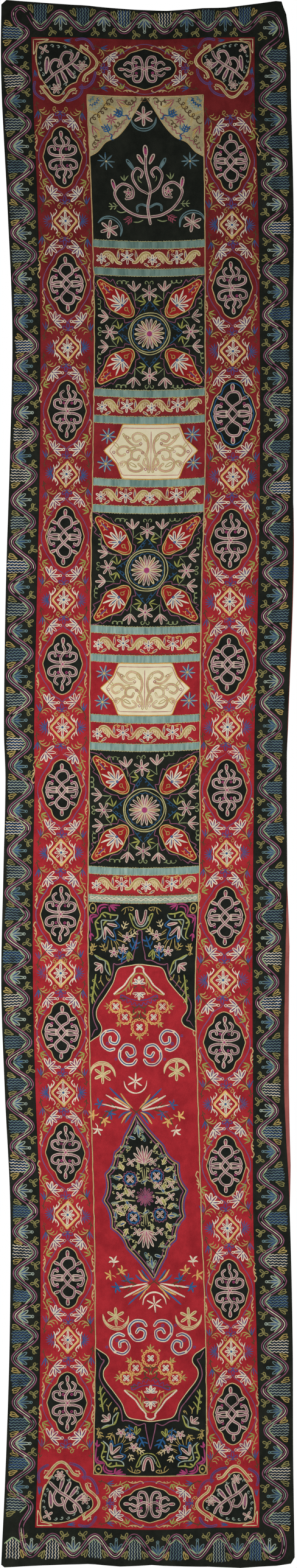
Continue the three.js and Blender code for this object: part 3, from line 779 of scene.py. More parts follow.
def make_felt():
    for side, name in ((FELT_LEFT, "spandrel_left"), (FELT_RIGHT, "spandrel_right")):
        line = eased(niche_line(side), steps=4)
        felt(name, [(side, CENTRE_TOP + FELT_INSET), *line], BEIGE_FELT, "beige_felt")
    for number in range(len(HEXAGONS)):
        outline = quartered(HEXAGON_QUARTER, *hexagon_shape(number))
        felt(f"hexagon_{number + 1}", outline, CREAM_FELT, "cream_felt")
    upper = RIBBONS[-1] + RIBBON_WIDE / 2 + FELT_INSET
    lower = CENTRE_BOTTOM - FELT_INSET
    for end, arch, edge in (("top", UPPER_ARCH, upper), ("bottom", LOWER_ARCH, lower)):
        outline = [*arch_line(arch), (FELT_RIGHT, edge), (FELT_LEFT, edge)]
        felt(f"field_spandrel_{end}", outline, BLACK_FELT, "black_felt")
    felt("field_medallion", field_outline(), BLACK_FELT, "black_felt")
    for name, middle, size in medallion_shapes():
        felt(name, lobe(middle, size), BLACK_FELT, "black_felt")
    for name, *corner in CORNERS:
        felt(name, eased(cornered(*corner), True, 2), BLACK_FELT, "black_felt")
    for number in range(len(SQUARES)):
        for quadrant in range(4):
            outline = drop_shape(square_middle(number), quadrant)
            felt(f"drop_{number + 1}_{quadrant + 1}", outline, RED_FELT, "red_wool", node=False)


# Needlework

class Spot:
    """A place on the flat cloth with its own turn and size, for drawing a motif at. Turns are clockwise."""

    def __init__(self, across, down, turn=0.0, size=(1.0, 1.0), under=None):
        c, s = math.cos(math.radians(turn)), math.sin(math.radians(turn))
        grid = np.array([[c * size[0], -s * size[1]], [s * size[0], c * size[1]]])
        place = np.array([across, down], float)
        self.grid = grid if under is None else under.grid @ grid
        self.place = place if under is None else under.grid @ place + under.place

    def __call__(self, points):
        return np.asarray(points, float) @ self.grid.T + self.place

    def at(self, x, y, turn=0.0, size=(1.0, 1.0)):
        return Spot(x, y, turn, size, self)


class Needlework:
    """Rows of chain stitch that belong together and become one piece."""

    # A new point comes after this much length or turn, and a link of chain is this long
    LONGEST, SHARPEST, LINK = 6.0, 0.68, 3.2
    # A row's height as a share of its width, how far its sides sink in, and how narrow its ends are
    CROWN, FOOT, END = 0.42, -0.15, 0.65
    # How much work by hand varies: size, place, turn and height, then width, dye of a row and dye along it
    GROWN, OFF, TURNED, LAID = 0.025, 0.6, 1.8, 0.12
    UNEVEN, LOT, FADED = 0.06, 0.06, 0.05

    def __init__(self, name, seed, face=PANEL_FACE):
        self.name = name
        self.face = face
        self.draw = np.random.default_rng(seed)
        self.rows = []

    def spot(self, across, down, turn=0.0, size=(1.0, 1.0)):
        """A place set by hand: a little off, turned and larger or smaller."""
        draw = self.draw
        grow = 1 + draw.normal(0, self.GROWN)
        across, down = across + draw.normal(0, self.OFF), down + draw.normal(0, self.OFF)
        return Spot(across, down, turn + draw.normal(0, self.TURNED), (size[0] * grow, size[1] * grow))

    def row(self, colour, points, wide=USUAL, closed=False, crisp=False, lift=0.0, taper=0.0):
        """Lays a row of chain stitch along a line, smooth unless it is crisp."""
        line = np.asarray(points, float) if crisp else eased(points, closed)
        if closed:
            line = np.vstack([line, line[0]])
        steps = np.diff(line, axis=0)
        long = np.hypot(steps[:, 0], steps[:, 1])
        keep = long > 1e-6
        line, steps, long = np.vstack([line[0], line[1:][keep]]), steps[keep], long[keep]
        heading = np.unwrap(np.arctan2(steps[:, 1], steps[:, 0]))
        bend = np.concatenate([[0], np.abs(np.diff(heading))])
        work = np.concatenate([[0], np.cumsum(long / self.LONGEST + bend / self.SHARPEST)])
        run = np.concatenate([[0], np.cumsum(long)])
        places = np.linspace(0, work[-1], max(4, round(work[-1]) + 1))
        line = np.column_stack([np.interp(places, work, line[:, k]) for k in (0, 1)])
        run = np.interp(places, work, run)
        if closed:
            line = line[:-1]
        swell = 1 - taper * (2 * np.linspace(0, 1, len(line)) - 1) ** 2
        lift += self.draw.uniform(0, self.LAID)
        self.rows.append((DYES[colour], line, run / self.LINK, wide * swell, closed, lift))

    def strokes(self, colour, spot, lines, wide=USUAL, taper=0.0):
        """Lays a row along each line of a motif that is drawn at a spot."""
        for points in lines:
            self.row(colour, spot(points), wide, taper=taper)

    def sewn(self):
        """Meshes all rows as low ridges that lie on the cloth."""
        flat, forward, colours, faces, charts = [], [], [], [], []
        start = 0
        for tone, line, run, wide, closed, lift in self.rows:
            count = len(line)
            half = wide / 2 * (1 + self.draw.normal(0, self.UNEVEN, count))
            crown = self.CROWN * wide
            if not closed:
                half[[0, -1]] *= self.END
                crown[[0, -1]] = 0
            ahead = ahead_of(line, closed)
            side = np.column_stack([-ahead[:, 1], ahead[:, 0]]) * half[:, None]
            flat.append(np.stack([line - side, line, line + side], axis=1).reshape(-1, 2))
            foot = np.full(count, self.FOOT)
            forward.append(np.column_stack([foot, crown, foot]).ravel() + self.face + lift)
            shade = (1 + self.draw.normal(0, self.LOT)) * (1 + self.draw.normal(0, self.FADED, count))
            colours.append(np.repeat(np.clip(np.outer(shade, dye(*tone)[:3]), 0, 1), 3, axis=0))
            i = np.arange(count if closed else count - 1)
            j = (i + 1) % count
            for a, b, va, vb in ((1, 0, 0.5, 0.0), (2, 1, 1.0, 0.5)):
                faces.append(start + np.column_stack([3 * i + a, 3 * j + a, 3 * j + b, 3 * i + b]))
                across = np.tile([va, va, vb, vb], len(i))
                along = np.column_stack([run[i], run[i + 1], run[i + 1], run[i]]).ravel()
                charts.append(np.column_stack([along, across]))
            start += 3 * count
        stacks = (np.vstack(part) for part in (flat, colours, faces, charts))
        self.piece(np.concatenate(forward), *stacks)

    def piece(self, forward, flat, colours, faces, charts):
        """Makes one piece of all rows, with each row's dye and its chart along and across."""
        mesh = bpy.data.meshes.new(self.name)
        mesh.vertices.add(len(flat))
        mesh.vertices.foreach_set("co", hang(flat, forward).ravel())
        mesh.loops.add(faces.size)
        mesh.loops.foreach_set("vertex_index", faces.ravel())
        mesh.polygons.add(len(faces))
        mesh.polygons.foreach_set("loop_start", np.arange(len(faces)) * 4)
        mesh.update(calc_edges=True)
        mesh.uv_layers.new(name="stitch").data.foreach_set("uv", charts.ravel())
        tint = mesh.color_attributes.new("dye", "FLOAT_COLOR", "POINT")
        tint.data.foreach_set("color", np.column_stack([colours, np.ones(len(colours))]).ravel())
        mesh.polygons.foreach_set("use_smooth", np.ones(len(faces), bool))
        mesh.materials.append(THREAD)
        mesh.validate()
        made = bpy.data.objects.new(self.name, mesh)
        bpy.context.collection.objects.link(made)
        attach(made, BODY)


def drop_leaf(work, spot, length, wide, edge, core=None, line=FINE):
    """A looped petal, with a row along its middle."""
    if core:
        middle = [(length * 0.1, 0), (length * 0.5, 0.1), (length * 0.84, 0)]
        work.row(core, spot(middle), wide - line + 0.3, lift=-0.5)
    work.row(edge, spot(petal(length, wide)), line, closed=True)


def bloom(work, spot, petals, reach, wide, edge, core, heart=None, start=-90.0, bare=1.0, line=FINE):
    """A round flower or star of looped petals."""
    for k in range(petals):
        foot = spot.at(0, 0, start + 360 * k / petals).at(bare, 0)
        drop_leaf(work, foot, reach - bare, wide, edge, core, line)
    if heart:
        work.row(heart, spot(ring(max(0.8, wide * 0.25))), USUAL, closed=True, lift=0.4)


def fan(work, spot, turns, reach, colour, wide=FINE):
    """Strokes that spread from one foot."""
    for turn in turns:
        foot = spot.at(0, 0, turn)
        work.row(colour, foot([(0.5, 0), (reach * 0.55, 0.5), (reach, -0.4)]), wide, taper=0.4)


def sprig(work, spot, colour, length, pairs=2, wide=USUAL):
    """A stem along the right with short slanting strokes on both sides."""
    work.row(colour, spot([(0, 0), (length * 0.5, 0.6), (length, 0)]), wide)
    for k in range(pairs):
        foot = length * (0.2 + 0.4 * k / max(1, pairs - 1))
        for side in (-1, 1):
            tip = (foot + length * 0.3, side * length * 0.34)
            work.row(colour, spot([(foot, 0), (foot + length * 0.12, side * length * 0.2), tip]), wide)


def trefoil(work, spot, colour, length, wide=BOLD):
    """A leaf of three pointed strokes."""
    for turn, share in ((-42, 0.85), (0, 1.0), (42, 0.85)):
        blade = spot.at(0, 0, turn)
        work.row(colour, blade([(0, 0), (length * share * 0.5, 0.5), (length * share, 0)]), wide, taper=0.55)


def curl(work, spot, colour, size, wide=FINE):
    """A short hook that rolls in at its end."""
    work.row(colour, spot([(0, 0), (size * 0.7, -size * 0.35), (size * 1.3, 0), (size * 1.2, size * 0.5),
                           (size * 0.8, size * 0.4), (size * 0.85, size * 0.1)]), wide)


def cordon(work, points, edge="blush", core="mauve", wide=5.4):
    """A broad line: one row along its middle and a pale one round it."""
    line = eased(points)
    work.row(core, line, wide * 0.4, crisp=True, lift=-0.2)
    left, right = (beside(line, by) for by in (-wide * 0.33, wide * 0.33))
    ends = line[[0, -1]] + ahead_of(line, False)[[0, -1]] * wide * np.array([[-0.3], [0.3]])
    work.row(edge, np.vstack([left, ends[1:], right[::-1], ends[:1]]), wide * 0.34, True, crisp=True)


def mirrored(spot):
    """The same place seen from its left and its right side."""
    return [spot.at(0, 0, 0, (side, 1)) for side in (-1, 1)]


# Outer border

# The meander: space between its three lines, and points along a dash of the pale middle one
MEANDER_GAP = 3.7
MEANDER_DASH = 6
BORDER_TOP, BORDER_BOTTOM = -8, 2986
# Sides of the border, going round: start, heading, inward way, where the first, middle and last of its
# inner bends lie along it, how many they are, how far in the outer and the inner bends lie, and the bare edge
BORDER_SIDES = {
    "left": ((LEFT_EDGE, BORDER_TOP), (0, 1), (1, 0), (54, 1501, 2883), 35, 8.5, 50, 2.5),
    "bottom": ((LEFT_EDGE, BORDER_BOTTOM), (1, 0), (0, -1), (90, 282, 475), 6, 16, 58, 9),
    "right": ((RIGHT_EDGE, BORDER_BOTTOM), (0, -1), (-1, 0), (91, 1490, 2900), 35, 14, 55, 5),
    "top": ((RIGHT_EDGE, BORDER_TOP), (-1, 0), (0, 1), (87, 277, 467), 6, 10, 44, 2),
}
# Bends of the corner before each side: across, down, what stands there and its turn
BORDER_CORNERS = {
    "left": [(-224, 3, None, 0), (-238, -6, None, 0), (-250, 5, None, 0), (-244, 24, None, 0)],
    "bottom": [(-241, 2914, None, 0), (-223, 2968, "tulip", -90)],
    "right": [(226, 2970, "tulip", -90), (247, 2970, None, 0), (254, 2946, None, 0), (245, 2917, None, 0)],
    "top": [(254, 52, None, 0), (260, 33, "tulip", 180), (248, 9, None, 0), (222, 9, None, 0)],
}


def border_bends(draw):
    """Every bend of the meander round the border: side, place, turn, what stands there and its room."""
    bends = []
    for side, (start, heading, inward, stations, count, out, deep, bare) in BORDER_SIDES.items():
        for across, down, motif, turn in BORDER_CORNERS[side]:
            bends.append((side, (across, down), turn, motif, 0))
        start, heading, inward = (np.array(v, float) for v in (start, heading, inward))
        turn = math.degrees(math.atan2(inward[1], inward[0]))
        for k in range(2 * count - 1):
            inner = k % 2 == 0
            along = np.interp(k / 2, (0, (count - 1) / 2, count - 1), stations) + draw.normal(0, 2)
            room = (deep if inner else out) + draw.normal(0, 1.2)
            place = start + heading * along + inward * room
            if side == "top":
                room += BORDER_TOP + np.interp(place[0], *zip(*TOP_EDGE))
            if side == "bottom":
                room += np.interp(place[0], *zip(*BOTTOM_EDGE)) - BORDER_BOTTOM
            bends.append((side, place, turn + 180 * inner, "bars" if inner else "tulip", room - bare))
    return bends


def arrow(work, spot):
    """Two pale strokes that frame what stands in a bend."""
    for arm in (-1, 1):
        work.row("celadon", spot([(6.5, arm * 0.5), (12, arm * 7), (18.5, arm * 15)]), 2.7)


def tulip(work, spot):
    """A three-petalled flower with a ring at its tip, between two sprigs."""
    arrow(work, spot)
    edge = work.draw.choice(["mist", "slate"])
    for turn, reach in ((-34, 20), (34, 20), (0, 24)):
        petal_spot = spot.at(8, 0, turn)
        work.row("blue", petal_spot([(3, 0), (reach * 0.8, 0)]), USUAL, lift=-0.4)
        drop_leaf(work, petal_spot, reach, 5.2, edge, None, 1.9)
    work.row(edge, spot.at(33, 0)(ring(2.3)), FINE, closed=True)
    for side in (-1, 1):
        twig = spot.at(37, side * 17, work.draw.uniform(-14, 14), (1, side))
        for turn, reach in ((-72, 9), (30, 10), (152, 8)):
            drop_leaf(work, twig.at(0, 0, turn), reach, 4.8, "moss", None, 1.9)
        work.row("moss", twig([(0, 0), (3, -5), (8, -7)]), 1.9)


def bar_block(work, spot, room, sides=(-1, 1)):
    """Braided pale and dark blue rows that run out to the edge, with a pair of leaves on each side."""
    arrow(work, spot)
    pale = work.draw.choice(["white", "mist", "slate", "slate"])
    dark = work.draw.choice(["navy", "navy", "blue"])
    for row in range(9):
        off = (row - 4) * 2.5
        end = room - work.draw.uniform(0.5, 3)
        line = spot([(8 + abs(off) * 0.8, off), (room * 0.6, off * 1.05), (end, off * 1.1)])
        colour, wide = (dark, 1.3) if row % 2 else (pale, 1.6)
        work.row(colour, wavy(line, 7, 1.8 if row % 4 < 2 else -1.8), wide)
    tone = work.draw.choice(["moss", "straw"])
    for side in sides:
        twig = spot.at(room - 19, side * 14.5, 0, (1, side))
        drop_leaf(work, twig.at(0, 0, 14), 16, 4.6, tone, None, 1.9)
        if work.draw.random() < 0.6:
            drop_leaf(work, twig.at(2, 2, 40), 13, 4.2, tone, None, 1.9)
        else:
            work.row(tone, twig([(2, 2), (8, 8), (14, 9), (13, 5)]), 1.9)


def stitch_border():
    draw = np.random.default_rng(31)
    works = {
        "left": Needlework("stitches_border_left", 1), "right": Needlework("stitches_border_right", 2),
        "top": Needlework("stitches_border_ends", 3),
    }
    works["bottom"] = works["top"]
    bends = border_bends(draw)
    steps = 10
    path = eased([place for _, place, *_ in bends], True, steps)
    sides = np.repeat([side for side, *_ in bends], steps)
    for by in (-MEANDER_GAP, 0, MEANDER_GAP):
        line = beside(path, by, True)
        for side, work in works.items():
            mine = np.flatnonzero(sides == side)
            run = line[mine[0]:mine[-1] + 2]
            if by:
                work.row("heather", run, 2.1, crisp=True)
                continue
            for k in range(0, len(run) - MEANDER_DASH, MEANDER_DASH):
                tone = "white" if draw.random() < 0.4 else "mist"
                long = MEANDER_DASH if draw.random() < 0.3 else MEANDER_DASH + 2
                work.row(tone, run[k:k + long], FINE, crisp=True)
    # One block stands by itself in the bottom left corner
    bar_block(works["bottom"], works["bottom"].spot(-256, 2926, 90), 50, (-1,))
    for side, place, turn, motif, room in bends:
        work = works[side]
        spot = work.spot(*place, turn)
        if motif == "tulip":
            tulip(work, spot)
        if motif == "bars":
            bar_block(work, spot, room)
    for side in ("left", "right", "top"):
        works[side].sewn()


# Red strips

def lotus(work, spot):
    """A side-view flower of five petals, one ending in a small loop."""
    for turn, reach in ((-139, 16.5), (-178, 16), (138, 14.5), (98, 15.5), (64, 16)):
        drop_leaf(work, spot.at(0, 0, turn), reach, 4.4, "white", "violet", 2.1)
    work.row("white", spot.at(-18, 0)(ring(2.0)), FINE, closed=True)
    work.row("violet", spot([(0.5, -1), (-2.5, 1.5)]), BOLD, lift=0.3)


def strip_quarter(work, quarter):
    """Flowers and leaf scrolls from a diamond's middle towards a medallion, on one side of the strip."""
    lotus(work, quarter.at(27, 48.5, 0, (1.14, 1.14)))
    twig = [[(46, 11), (45, 24), (41, 32), (34, 40), (27, 48)], [(46, 18), (49, 22)], [(45, 14), (41, 19)]]
    work.strokes("bark", quarter, twig, 1.9)
    leaves = [
        [(40, 29), (36, 34), (28, 37.5), (22, 34.5), (20, 29)], [(40, 28.5), (33, 29), (30, 24)],
        [(35, 34.5), (29, 33), (26, 29.5)], [(40, 34), (37, 45), (43, 52)], [(37, 45), (40, 57), (48.5, 60)],
        [(40, 57), (45, 67), (49.5, 74)], [(41.5, 61), (37, 66), (37.5, 70)],
    ]
    work.strokes("straw", quarter, leaves, 2.1)
    tail = [
        [(48.5, 75), (45, 84), (46.5, 95), (49.5, 101), (46, 108), (44, 105)], [(45.5, 87), (49, 93)],
        [(45.5, 82), (49.5, 86)],
    ]
    work.strokes("sand", quarter, tail, 2.1)
    trefoil(work, quarter.at(43, 76, -156), "olive", 14.5)
    fan(work, quarter.at(43, 31), (66, 92, 116), 16, "blue", USUAL)


def strip_half(work, spot):
    """What lies between a diamond's middle and the next medallion, which is towards the spot's down side."""
    for turn, reach in ((90, 15), (38, 12), (142, 12)):
        drop_leaf(work, spot.at(0, 31, turn), reach, 6, "violet", None, 1.9)
    work.row("blue", spot([(-2, 34), (0, 36), (2, 34)]), USUAL)
    for side in mirrored(spot):
        hook = [(0, 31.5), (7, 33), (12, 30), (14, 25), (11, 22), (8.5, 25), (11, 28), (16, 28)]
        work.row("straw", side(hook), FINE)
        work.row("straw", side([(4, 31), (7, 28.5)]), FINE)
        strip_quarter(work, side)


def medallion_fill(work, spot, kind):
    """A generic arabesque inside a black medallion: scrolls, buds and rings."""
    for flip in (-1, 1):
        half = spot.at(0, 0, 0, (1, flip))
        if kind == 0:
            cordon(work, half([(0, 0), (-4, -12), (4, -26), (0, -36)]))
        else:
            loop = [(-11, 3), (0, -12), (13, -22), (9, -36), (-5, -36), (-12, -24), (0, -10), (11, 3)]
            cordon(work, half(loop))
        drop_leaf(work, half.at(0, -38, -90), 13, 6.5, "blush", "rose", 2)
        for wing in mirrored(half):
            if kind == 0:
                cordon(work, wing([(1, -4), (13, -4), (25, -9), (26, -19), (17, -22), (14, -15)]))
                cordon(work, wing([(2, -22), (11, -24), (15, -33), (9, -39)]), wide=5)
            else:
                cordon(work, wing([(10, -4), (20, -4), (30, -2), (26, -14), (19, -12)]))
                drop_leaf(work, wing.at(14, -24, -24), 13, 5.5, "blush", "rose", 2)
            bead = wing.at(19, -17) if kind else wing.at(8, -16)
            work.row("magenta", bead(ring(1.9)), FINE, closed=True)
    if kind == 0:
        bloom(work, spot, 4, 8, 4.6, "blush", "rose", "magenta", start=-45)


def diamond(work, spot):
    """The wavy diamond between two medallions, with its rosette, antlers and fans."""
    quarter = [(0, 1), (0.16, 0.8), (0.32, 0.7), (0.5, 0.5), (0.72, 0.3), (1, 0)]
    outline = eased(quartered(quarter, 0, 0, 22.5, 26.5), True, 3)
    work.row("gold", spot(outline), BOLD, closed=True, crisp=True)
    work.row("cream", spot(outline * 0.9), USUAL, closed=True, crisp=True)
    for k in range(8):
        reach = 17 if k % 4 == 2 else 12.5
        drop_leaf(work, spot.at(0, 0, 45 * k).at(1.5, 0), reach - 1.5, 3.8, "white", "lilac", 2)
    for y in (-18.5, 18.5):
        work.row("white", spot.at(0, y)(ring(1.8)), FINE, closed=True)
    work.row("blue", spot(ring(1.2)), BOLD, closed=True, lift=0.4)
    for side in mirrored(spot):
        fan(work, side.at(31, 0), (-104, -76, -48, -22, 2, 26, 52, 80, 106), 14, "blue", 2.1)
        for flip in (-1, 1):
            horn = side.at(0, 0, 0, (1, flip))
            work.row("white", horn([(26.5, 0), (25.5, -8), (29, -17)]), USUAL)
            work.row("white", horn([(25.5, -8), (20, -13), (16.5, -19), (20, -24)]), USUAL)
            work.row("white", horn([(25, -9), (22.5, -14), (21.5, -18)]), FINE)


def stitch_strips():
    for seed, side in ((11, "left"), (12, "right")):
        work = Needlework(f"stitches_strip_{side}", seed)
        inlay = Needlework(f"stitches_medallions_{side}", seed + 20, FELT_FACE)
        across = STRIPS[side]
        levels = [row[side == "right"] for row in MEDALLION_ROWS]
        half_way = (levels[-1] - levels[0]) / (len(levels) - 1) / 2
        middles = [(above + below) / 2 for above, below in zip(levels, levels[1:])]
        for middle in middles:
            diamond(work, work.spot(across, middle))
        for level in [levels[0] - half_way, *middles]:
            strip_half(work, work.spot(across, level))
        for level in [*middles, levels[-1] + half_way]:
            strip_half(work, work.spot(across, level, 0, (1, -1)))
        for row, level in enumerate(levels):
            large = side == "right" and row == LARGE_ROW
            size = LARGE_SIZE if large else MEDALLION_SIZE
            grow = size[0] / MEDALLION_SIZE[0]
            middle = (across, level)
            medallion_fill(inlay, inlay.spot(*middle, 0, (grow, grow)), (row + (side == "right")) % 2)
            inlay.row("sand", lobe(middle, size, -0.6), 1.9, True, True)
            if large:
                inlay.row("azure", lobe(middle, size, -5), 2.1, True, True)
            else:
                echo = quartered(ECHO_QUARTER, *middle, size[0] + ECHO_BESIDE, size[1] + ECHO_BEYOND)
                work.row("lilac", echo, 1.9, True, True)
        seam = CENTRE_LEFT if side == "left" else CENTRE_RIGHT
        line = evened([(seam, CENTRE_TOP), (seam, CENTRE_BOTTOM)], 12)
        line[:, 0] += work.draw.normal(0, 0.35, len(line))
        work.row("sand", line, 2.1, lift=0.8)
        work.sewn()
        inlay.sewn()


# Ends and corners of the red border

def corner_frame(work, spot):
    """Scrolled bars and hooks round a corner medallion, drawn from the corner and across its diagonal."""
    for side in (spot, Spot(0, 0, 90, (1, -1), spot)):
        work.row("cream", side([(4, 4), (18, 4), (33, 4), (22, 9), (11, 10)]), 1.9)
        bar = [
            (36, 8), (50, 9), (62, 12), (72, 13), (81, 17), (82, 21), (76, 22), (66, 19), (52, 14), (40, 12),
        ]
        work.row("straw", side([(42, 10), (58, 13), (76, 19)]), BOLD, lift=-0.3)
        work.row("cream", side(bar), 2.1, True)
        hook = [(95, 16), (105, 24), (115, 32), (123, 41), (125, 50), (121, 58)]
        cordon(work, side(hook), "cream", "straw")
        cordon(work, side([(121, 58), (112, 66), (103, 73), (99, 83)]), "cream", "straw")
        cordon(work, side([(97, 17), (94, 24), (99, 31)]), "cream", "straw", 4.4)
        cordon(work, side([(86, 5), (96, 2.5), (106, 4), (114, 11), (119, 21)]), "violet", "plum", 5)
        cordon(work, side([(122, 66), (120, 76), (114, 88), (104, 96), (92, 96)]), "violet", "plum", 5)
        work.row("cream", side(wavy([(104, 12), (110, 22)], 8, 4)), FINE)
        work.row("cream", side(wavy([(110, 78), (103, 88)], 8, 4)), FINE)
        fan(work, side.at(62, 5), (-8, 6, 18), 17, "blue", USUAL)


def corner_fill(work, spot):
    """A generic spray in a corner medallion: a curved branch with leaves, small stars and curls."""
    cordon(work, spot([(26, 86), (44, 70), (64, 58), (84, 42), (90, 30)]), "blush", "mauve", 6)
    cordon(work, spot([(40, 72), (34, 58), (42, 44), (54, 46), (51, 57)]), "blush", "mauve", 5.4)
    cordon(work, spot([(62, 58), (56, 42), (64, 29), (78, 32), (75, 43)]), "blush", "mauve", 5.4)
    drop_leaf(work, spot.at(27, 70, -84), 32, 8, "blush", "mauve", 2.4)
    for x, y, turn in ((46, 70, 74), (56, 64, 64), (66, 58, 52), (77, 50, 38)):
        drop_leaf(work, spot.at(x, y, turn), 26, 7, "blush", "mauve", 2.2)
    for x, y, petals in ((24, 24, 4), (46, 99, 6), (97, 54, 6)):
        bloom(work, spot.at(x, y), petals, 10, 4.2, "blush", "rose", start=-60, line=1.9)
    curls = [
        (16, 34, 80), (16, 46, 100), (17, 58, 80), (20, 68, 60), (36, 16, 0), (48, 16, 20), (60, 18, 0),
        (72, 24, 30), (34, 92, 120), (60, 92, -20), (58, 103, 60), (84, 72, 100), (100, 38, 20), (80, 64, 60),
    ]
    for x, y, turn in curls:
        curl(work, spot.at(x, y, turn), "mist", 5)


def stitch_ends():
    work = Needlework("stitches_strip_ends", 14)
    inlay = Needlework("stitches_medallions_ends", 15, FELT_FACE)
    shrink, reach = 0.9, 109
    for _, across, down, half_wide, half_tall in END_MEDALLIONS:
        middle, size = (across, down), (half_wide, half_tall)
        for way in (-1, 1):
            strip_half(work, Spot(across + way * reach, down, 90 * way, (shrink, shrink)))
        medallion_fill(inlay, inlay.spot(*middle, 90, (0.92, 0.98)), 0)
        inlay.row("sand", lobe(middle, size, -0.6), 1.9, True, True)
        echo = [(b, a) for a, b in ECHO_QUARTER[::-1]]
        line = quartered(echo, *middle, half_wide + ECHO_BEYOND, half_tall + ECHO_BESIDE)
        work.row("lilac", line, 1.9, True, True)
    for _, across, down, reach_across, reach_down in CORNERS:
        size = (reach_across / CORNER_REACH, reach_down / CORNER_REACH)
        corner_frame(work, Spot(across, down, 0, size))
        corner_fill(inlay, Spot(across, down, 0, size))
        edge = eased(cornered(across, down, reach_across, reach_down), True, 2)
        inlay.row("sand", edge, 1.9, True, True)
    for level in (CENTRE_TOP, CENTRE_BOTTOM):
        line = evened([(CENTRE_LEFT, level), (CENTRE_RIGHT, level)], 12)
        work.row("sand", line, 2.1, lift=0.8)
    work.sewn()
    inlay.sewn()


# Top niche

def crescent(work, spot, radius, colour, start, end, deep=4.0, filled=False):
    """Two arcs that meet at their points, open or filled between."""
    outer = ring(radius, start, end)
    swell = np.sin(np.linspace(0, math.pi, len(outer)))[:, None]
    for share in (0, 0.5, 1) if filled else (0, 1):
        work.row(colour, spot(outer * (1 - share * swell * deep / radius)), USUAL)


def niche_spray(work, spot):
    """A generic flowering bush for the middle of the niche."""
    cordon(work, spot([(0, 78), (-3, 44), (4, 8), (-2, -30), (0, -62)]), wide=5.4)
    drop_leaf(work, spot.at(0, -58, -90), 24, 9, "blush", "magenta", 2.4)
    for half in mirrored(spot):
        cordon(work, half([(1, 64), (26, 60), (52, 44), (68, 16), (52, -4), (32, 4), (32, 22), (46, 26)]))
        cordon(work, half([(2, 16), (20, 4), (30, -20), (20, -36), (9, -28), (13, -17)]), wide=5)
        cordon(work, half([(1, 44), (14, 38), (24, 42), (24, 52)]), "slate", "slate", 4.6)
        buds = [
            (25, -32, -58, 26, "slate", "slate"), (66, 10, -78, 24, "blush", "magenta"),
            (6, -44, -62, 22, "blush", "rose"),
        ]
        for x, y, turn, reach, edge, core in buds:
            drop_leaf(work, half.at(x, y, turn), reach, 7, edge, core, 2.2)
        sprig(work, half.at(62, 40, 5), "sage", 20, 2)
        sprig(work, half.at(34, 62, 36), "rose", 22, 3)
        fan(work, half.at(46, -10), (-125, -90, -55), 14, "sage", USUAL)
        bloom(work, half.at(40, 14), 5, 9, 4.4, "blush", "rose", "magenta")
        twigs = [
            [(14, 70), (24, 74), (34, 73)], [(48, 52), (58, 54), (66, 50)], [(12, -6), (18, -12), (18, -20)],
        ]
        work.strokes("sage", half, twigs)


def spandrel_fill(work, spot):
    """Sprays of one beige spandrel, drawn from its upper outer corner."""
    scallop = [(19.5, 3), (19, 9), (14.5, 14), (9.5, 18.5), (2.5, 20)]
    for grown, colour in ((0.55, "slate"), (1, "azure"), (1.35, "mist")):
        work.row(colour, spot(zigzag(eased([(x * grown, y * grown) for x, y in scallop]), 5.5, 4.5)), USUAL)
    curled = [(48, 5), (40, 10), (33, 21), (26, 30), (20, 37), (10, 43), (6, 52)]
    work.row("bark", looped(spot(eased(curled)), 10, 4.2), 2.1)
    plumes = (
        [(29, 3), (32, 12), (32, 21), (40, 19), (49, 23)],
        [(4.5, 31), (14, 35), (20.5, 36), (20.5, 46), (24, 55)],
        [(58, 8), (64, 16), (74, 18)], [(10, 62), (17, 70), (18, 80)],
    )
    for plume in plumes:
        cordon(work, spot(plume), "honey", "straw", 4)
    for x, y, turn in ((66, 37, 205), (37, 72, 245)):
        bush = spot.at(x, y, turn)
        sprig(work, bush, "azure", 21, 3, BOLD)
        work.row("azure", bush([(1, 1), (-5, 4), (-10, -1), (-13, 3)]), BOLD)
        work.row("slate", bush.at(3, 0, 24)([(2, 2), (9, 7), (15, 6)]), BOLD)
    for turn in range(-90, 270, 45):
        work.row("rose", spot.at(42, 44, turn)([(1, 0), (11, 0)]), BOLD, taper=0.4)
    for x, y, turns in ((52, 5, (6, 32, 58)), (6, 58, (32, 58, 84))):
        fan(work, spot.at(x, y), turns, 19, "rose", USUAL)
    curls = (
        [(67, 6), (76, 13), (82, 9), (88, 3)], [(48, 60), (54, 54), (60, 47)],
        [(9, 76), (15, 86), (9, 93), (10, 102)],
        [(96, 4), (106, 5)], [(52, 30), (58, 26)], [(26, 58), (28, 64)],
    )
    for points in curls:
        work.row("bark", looped(spot(eased(points)), 8, 3.2), 1.9)


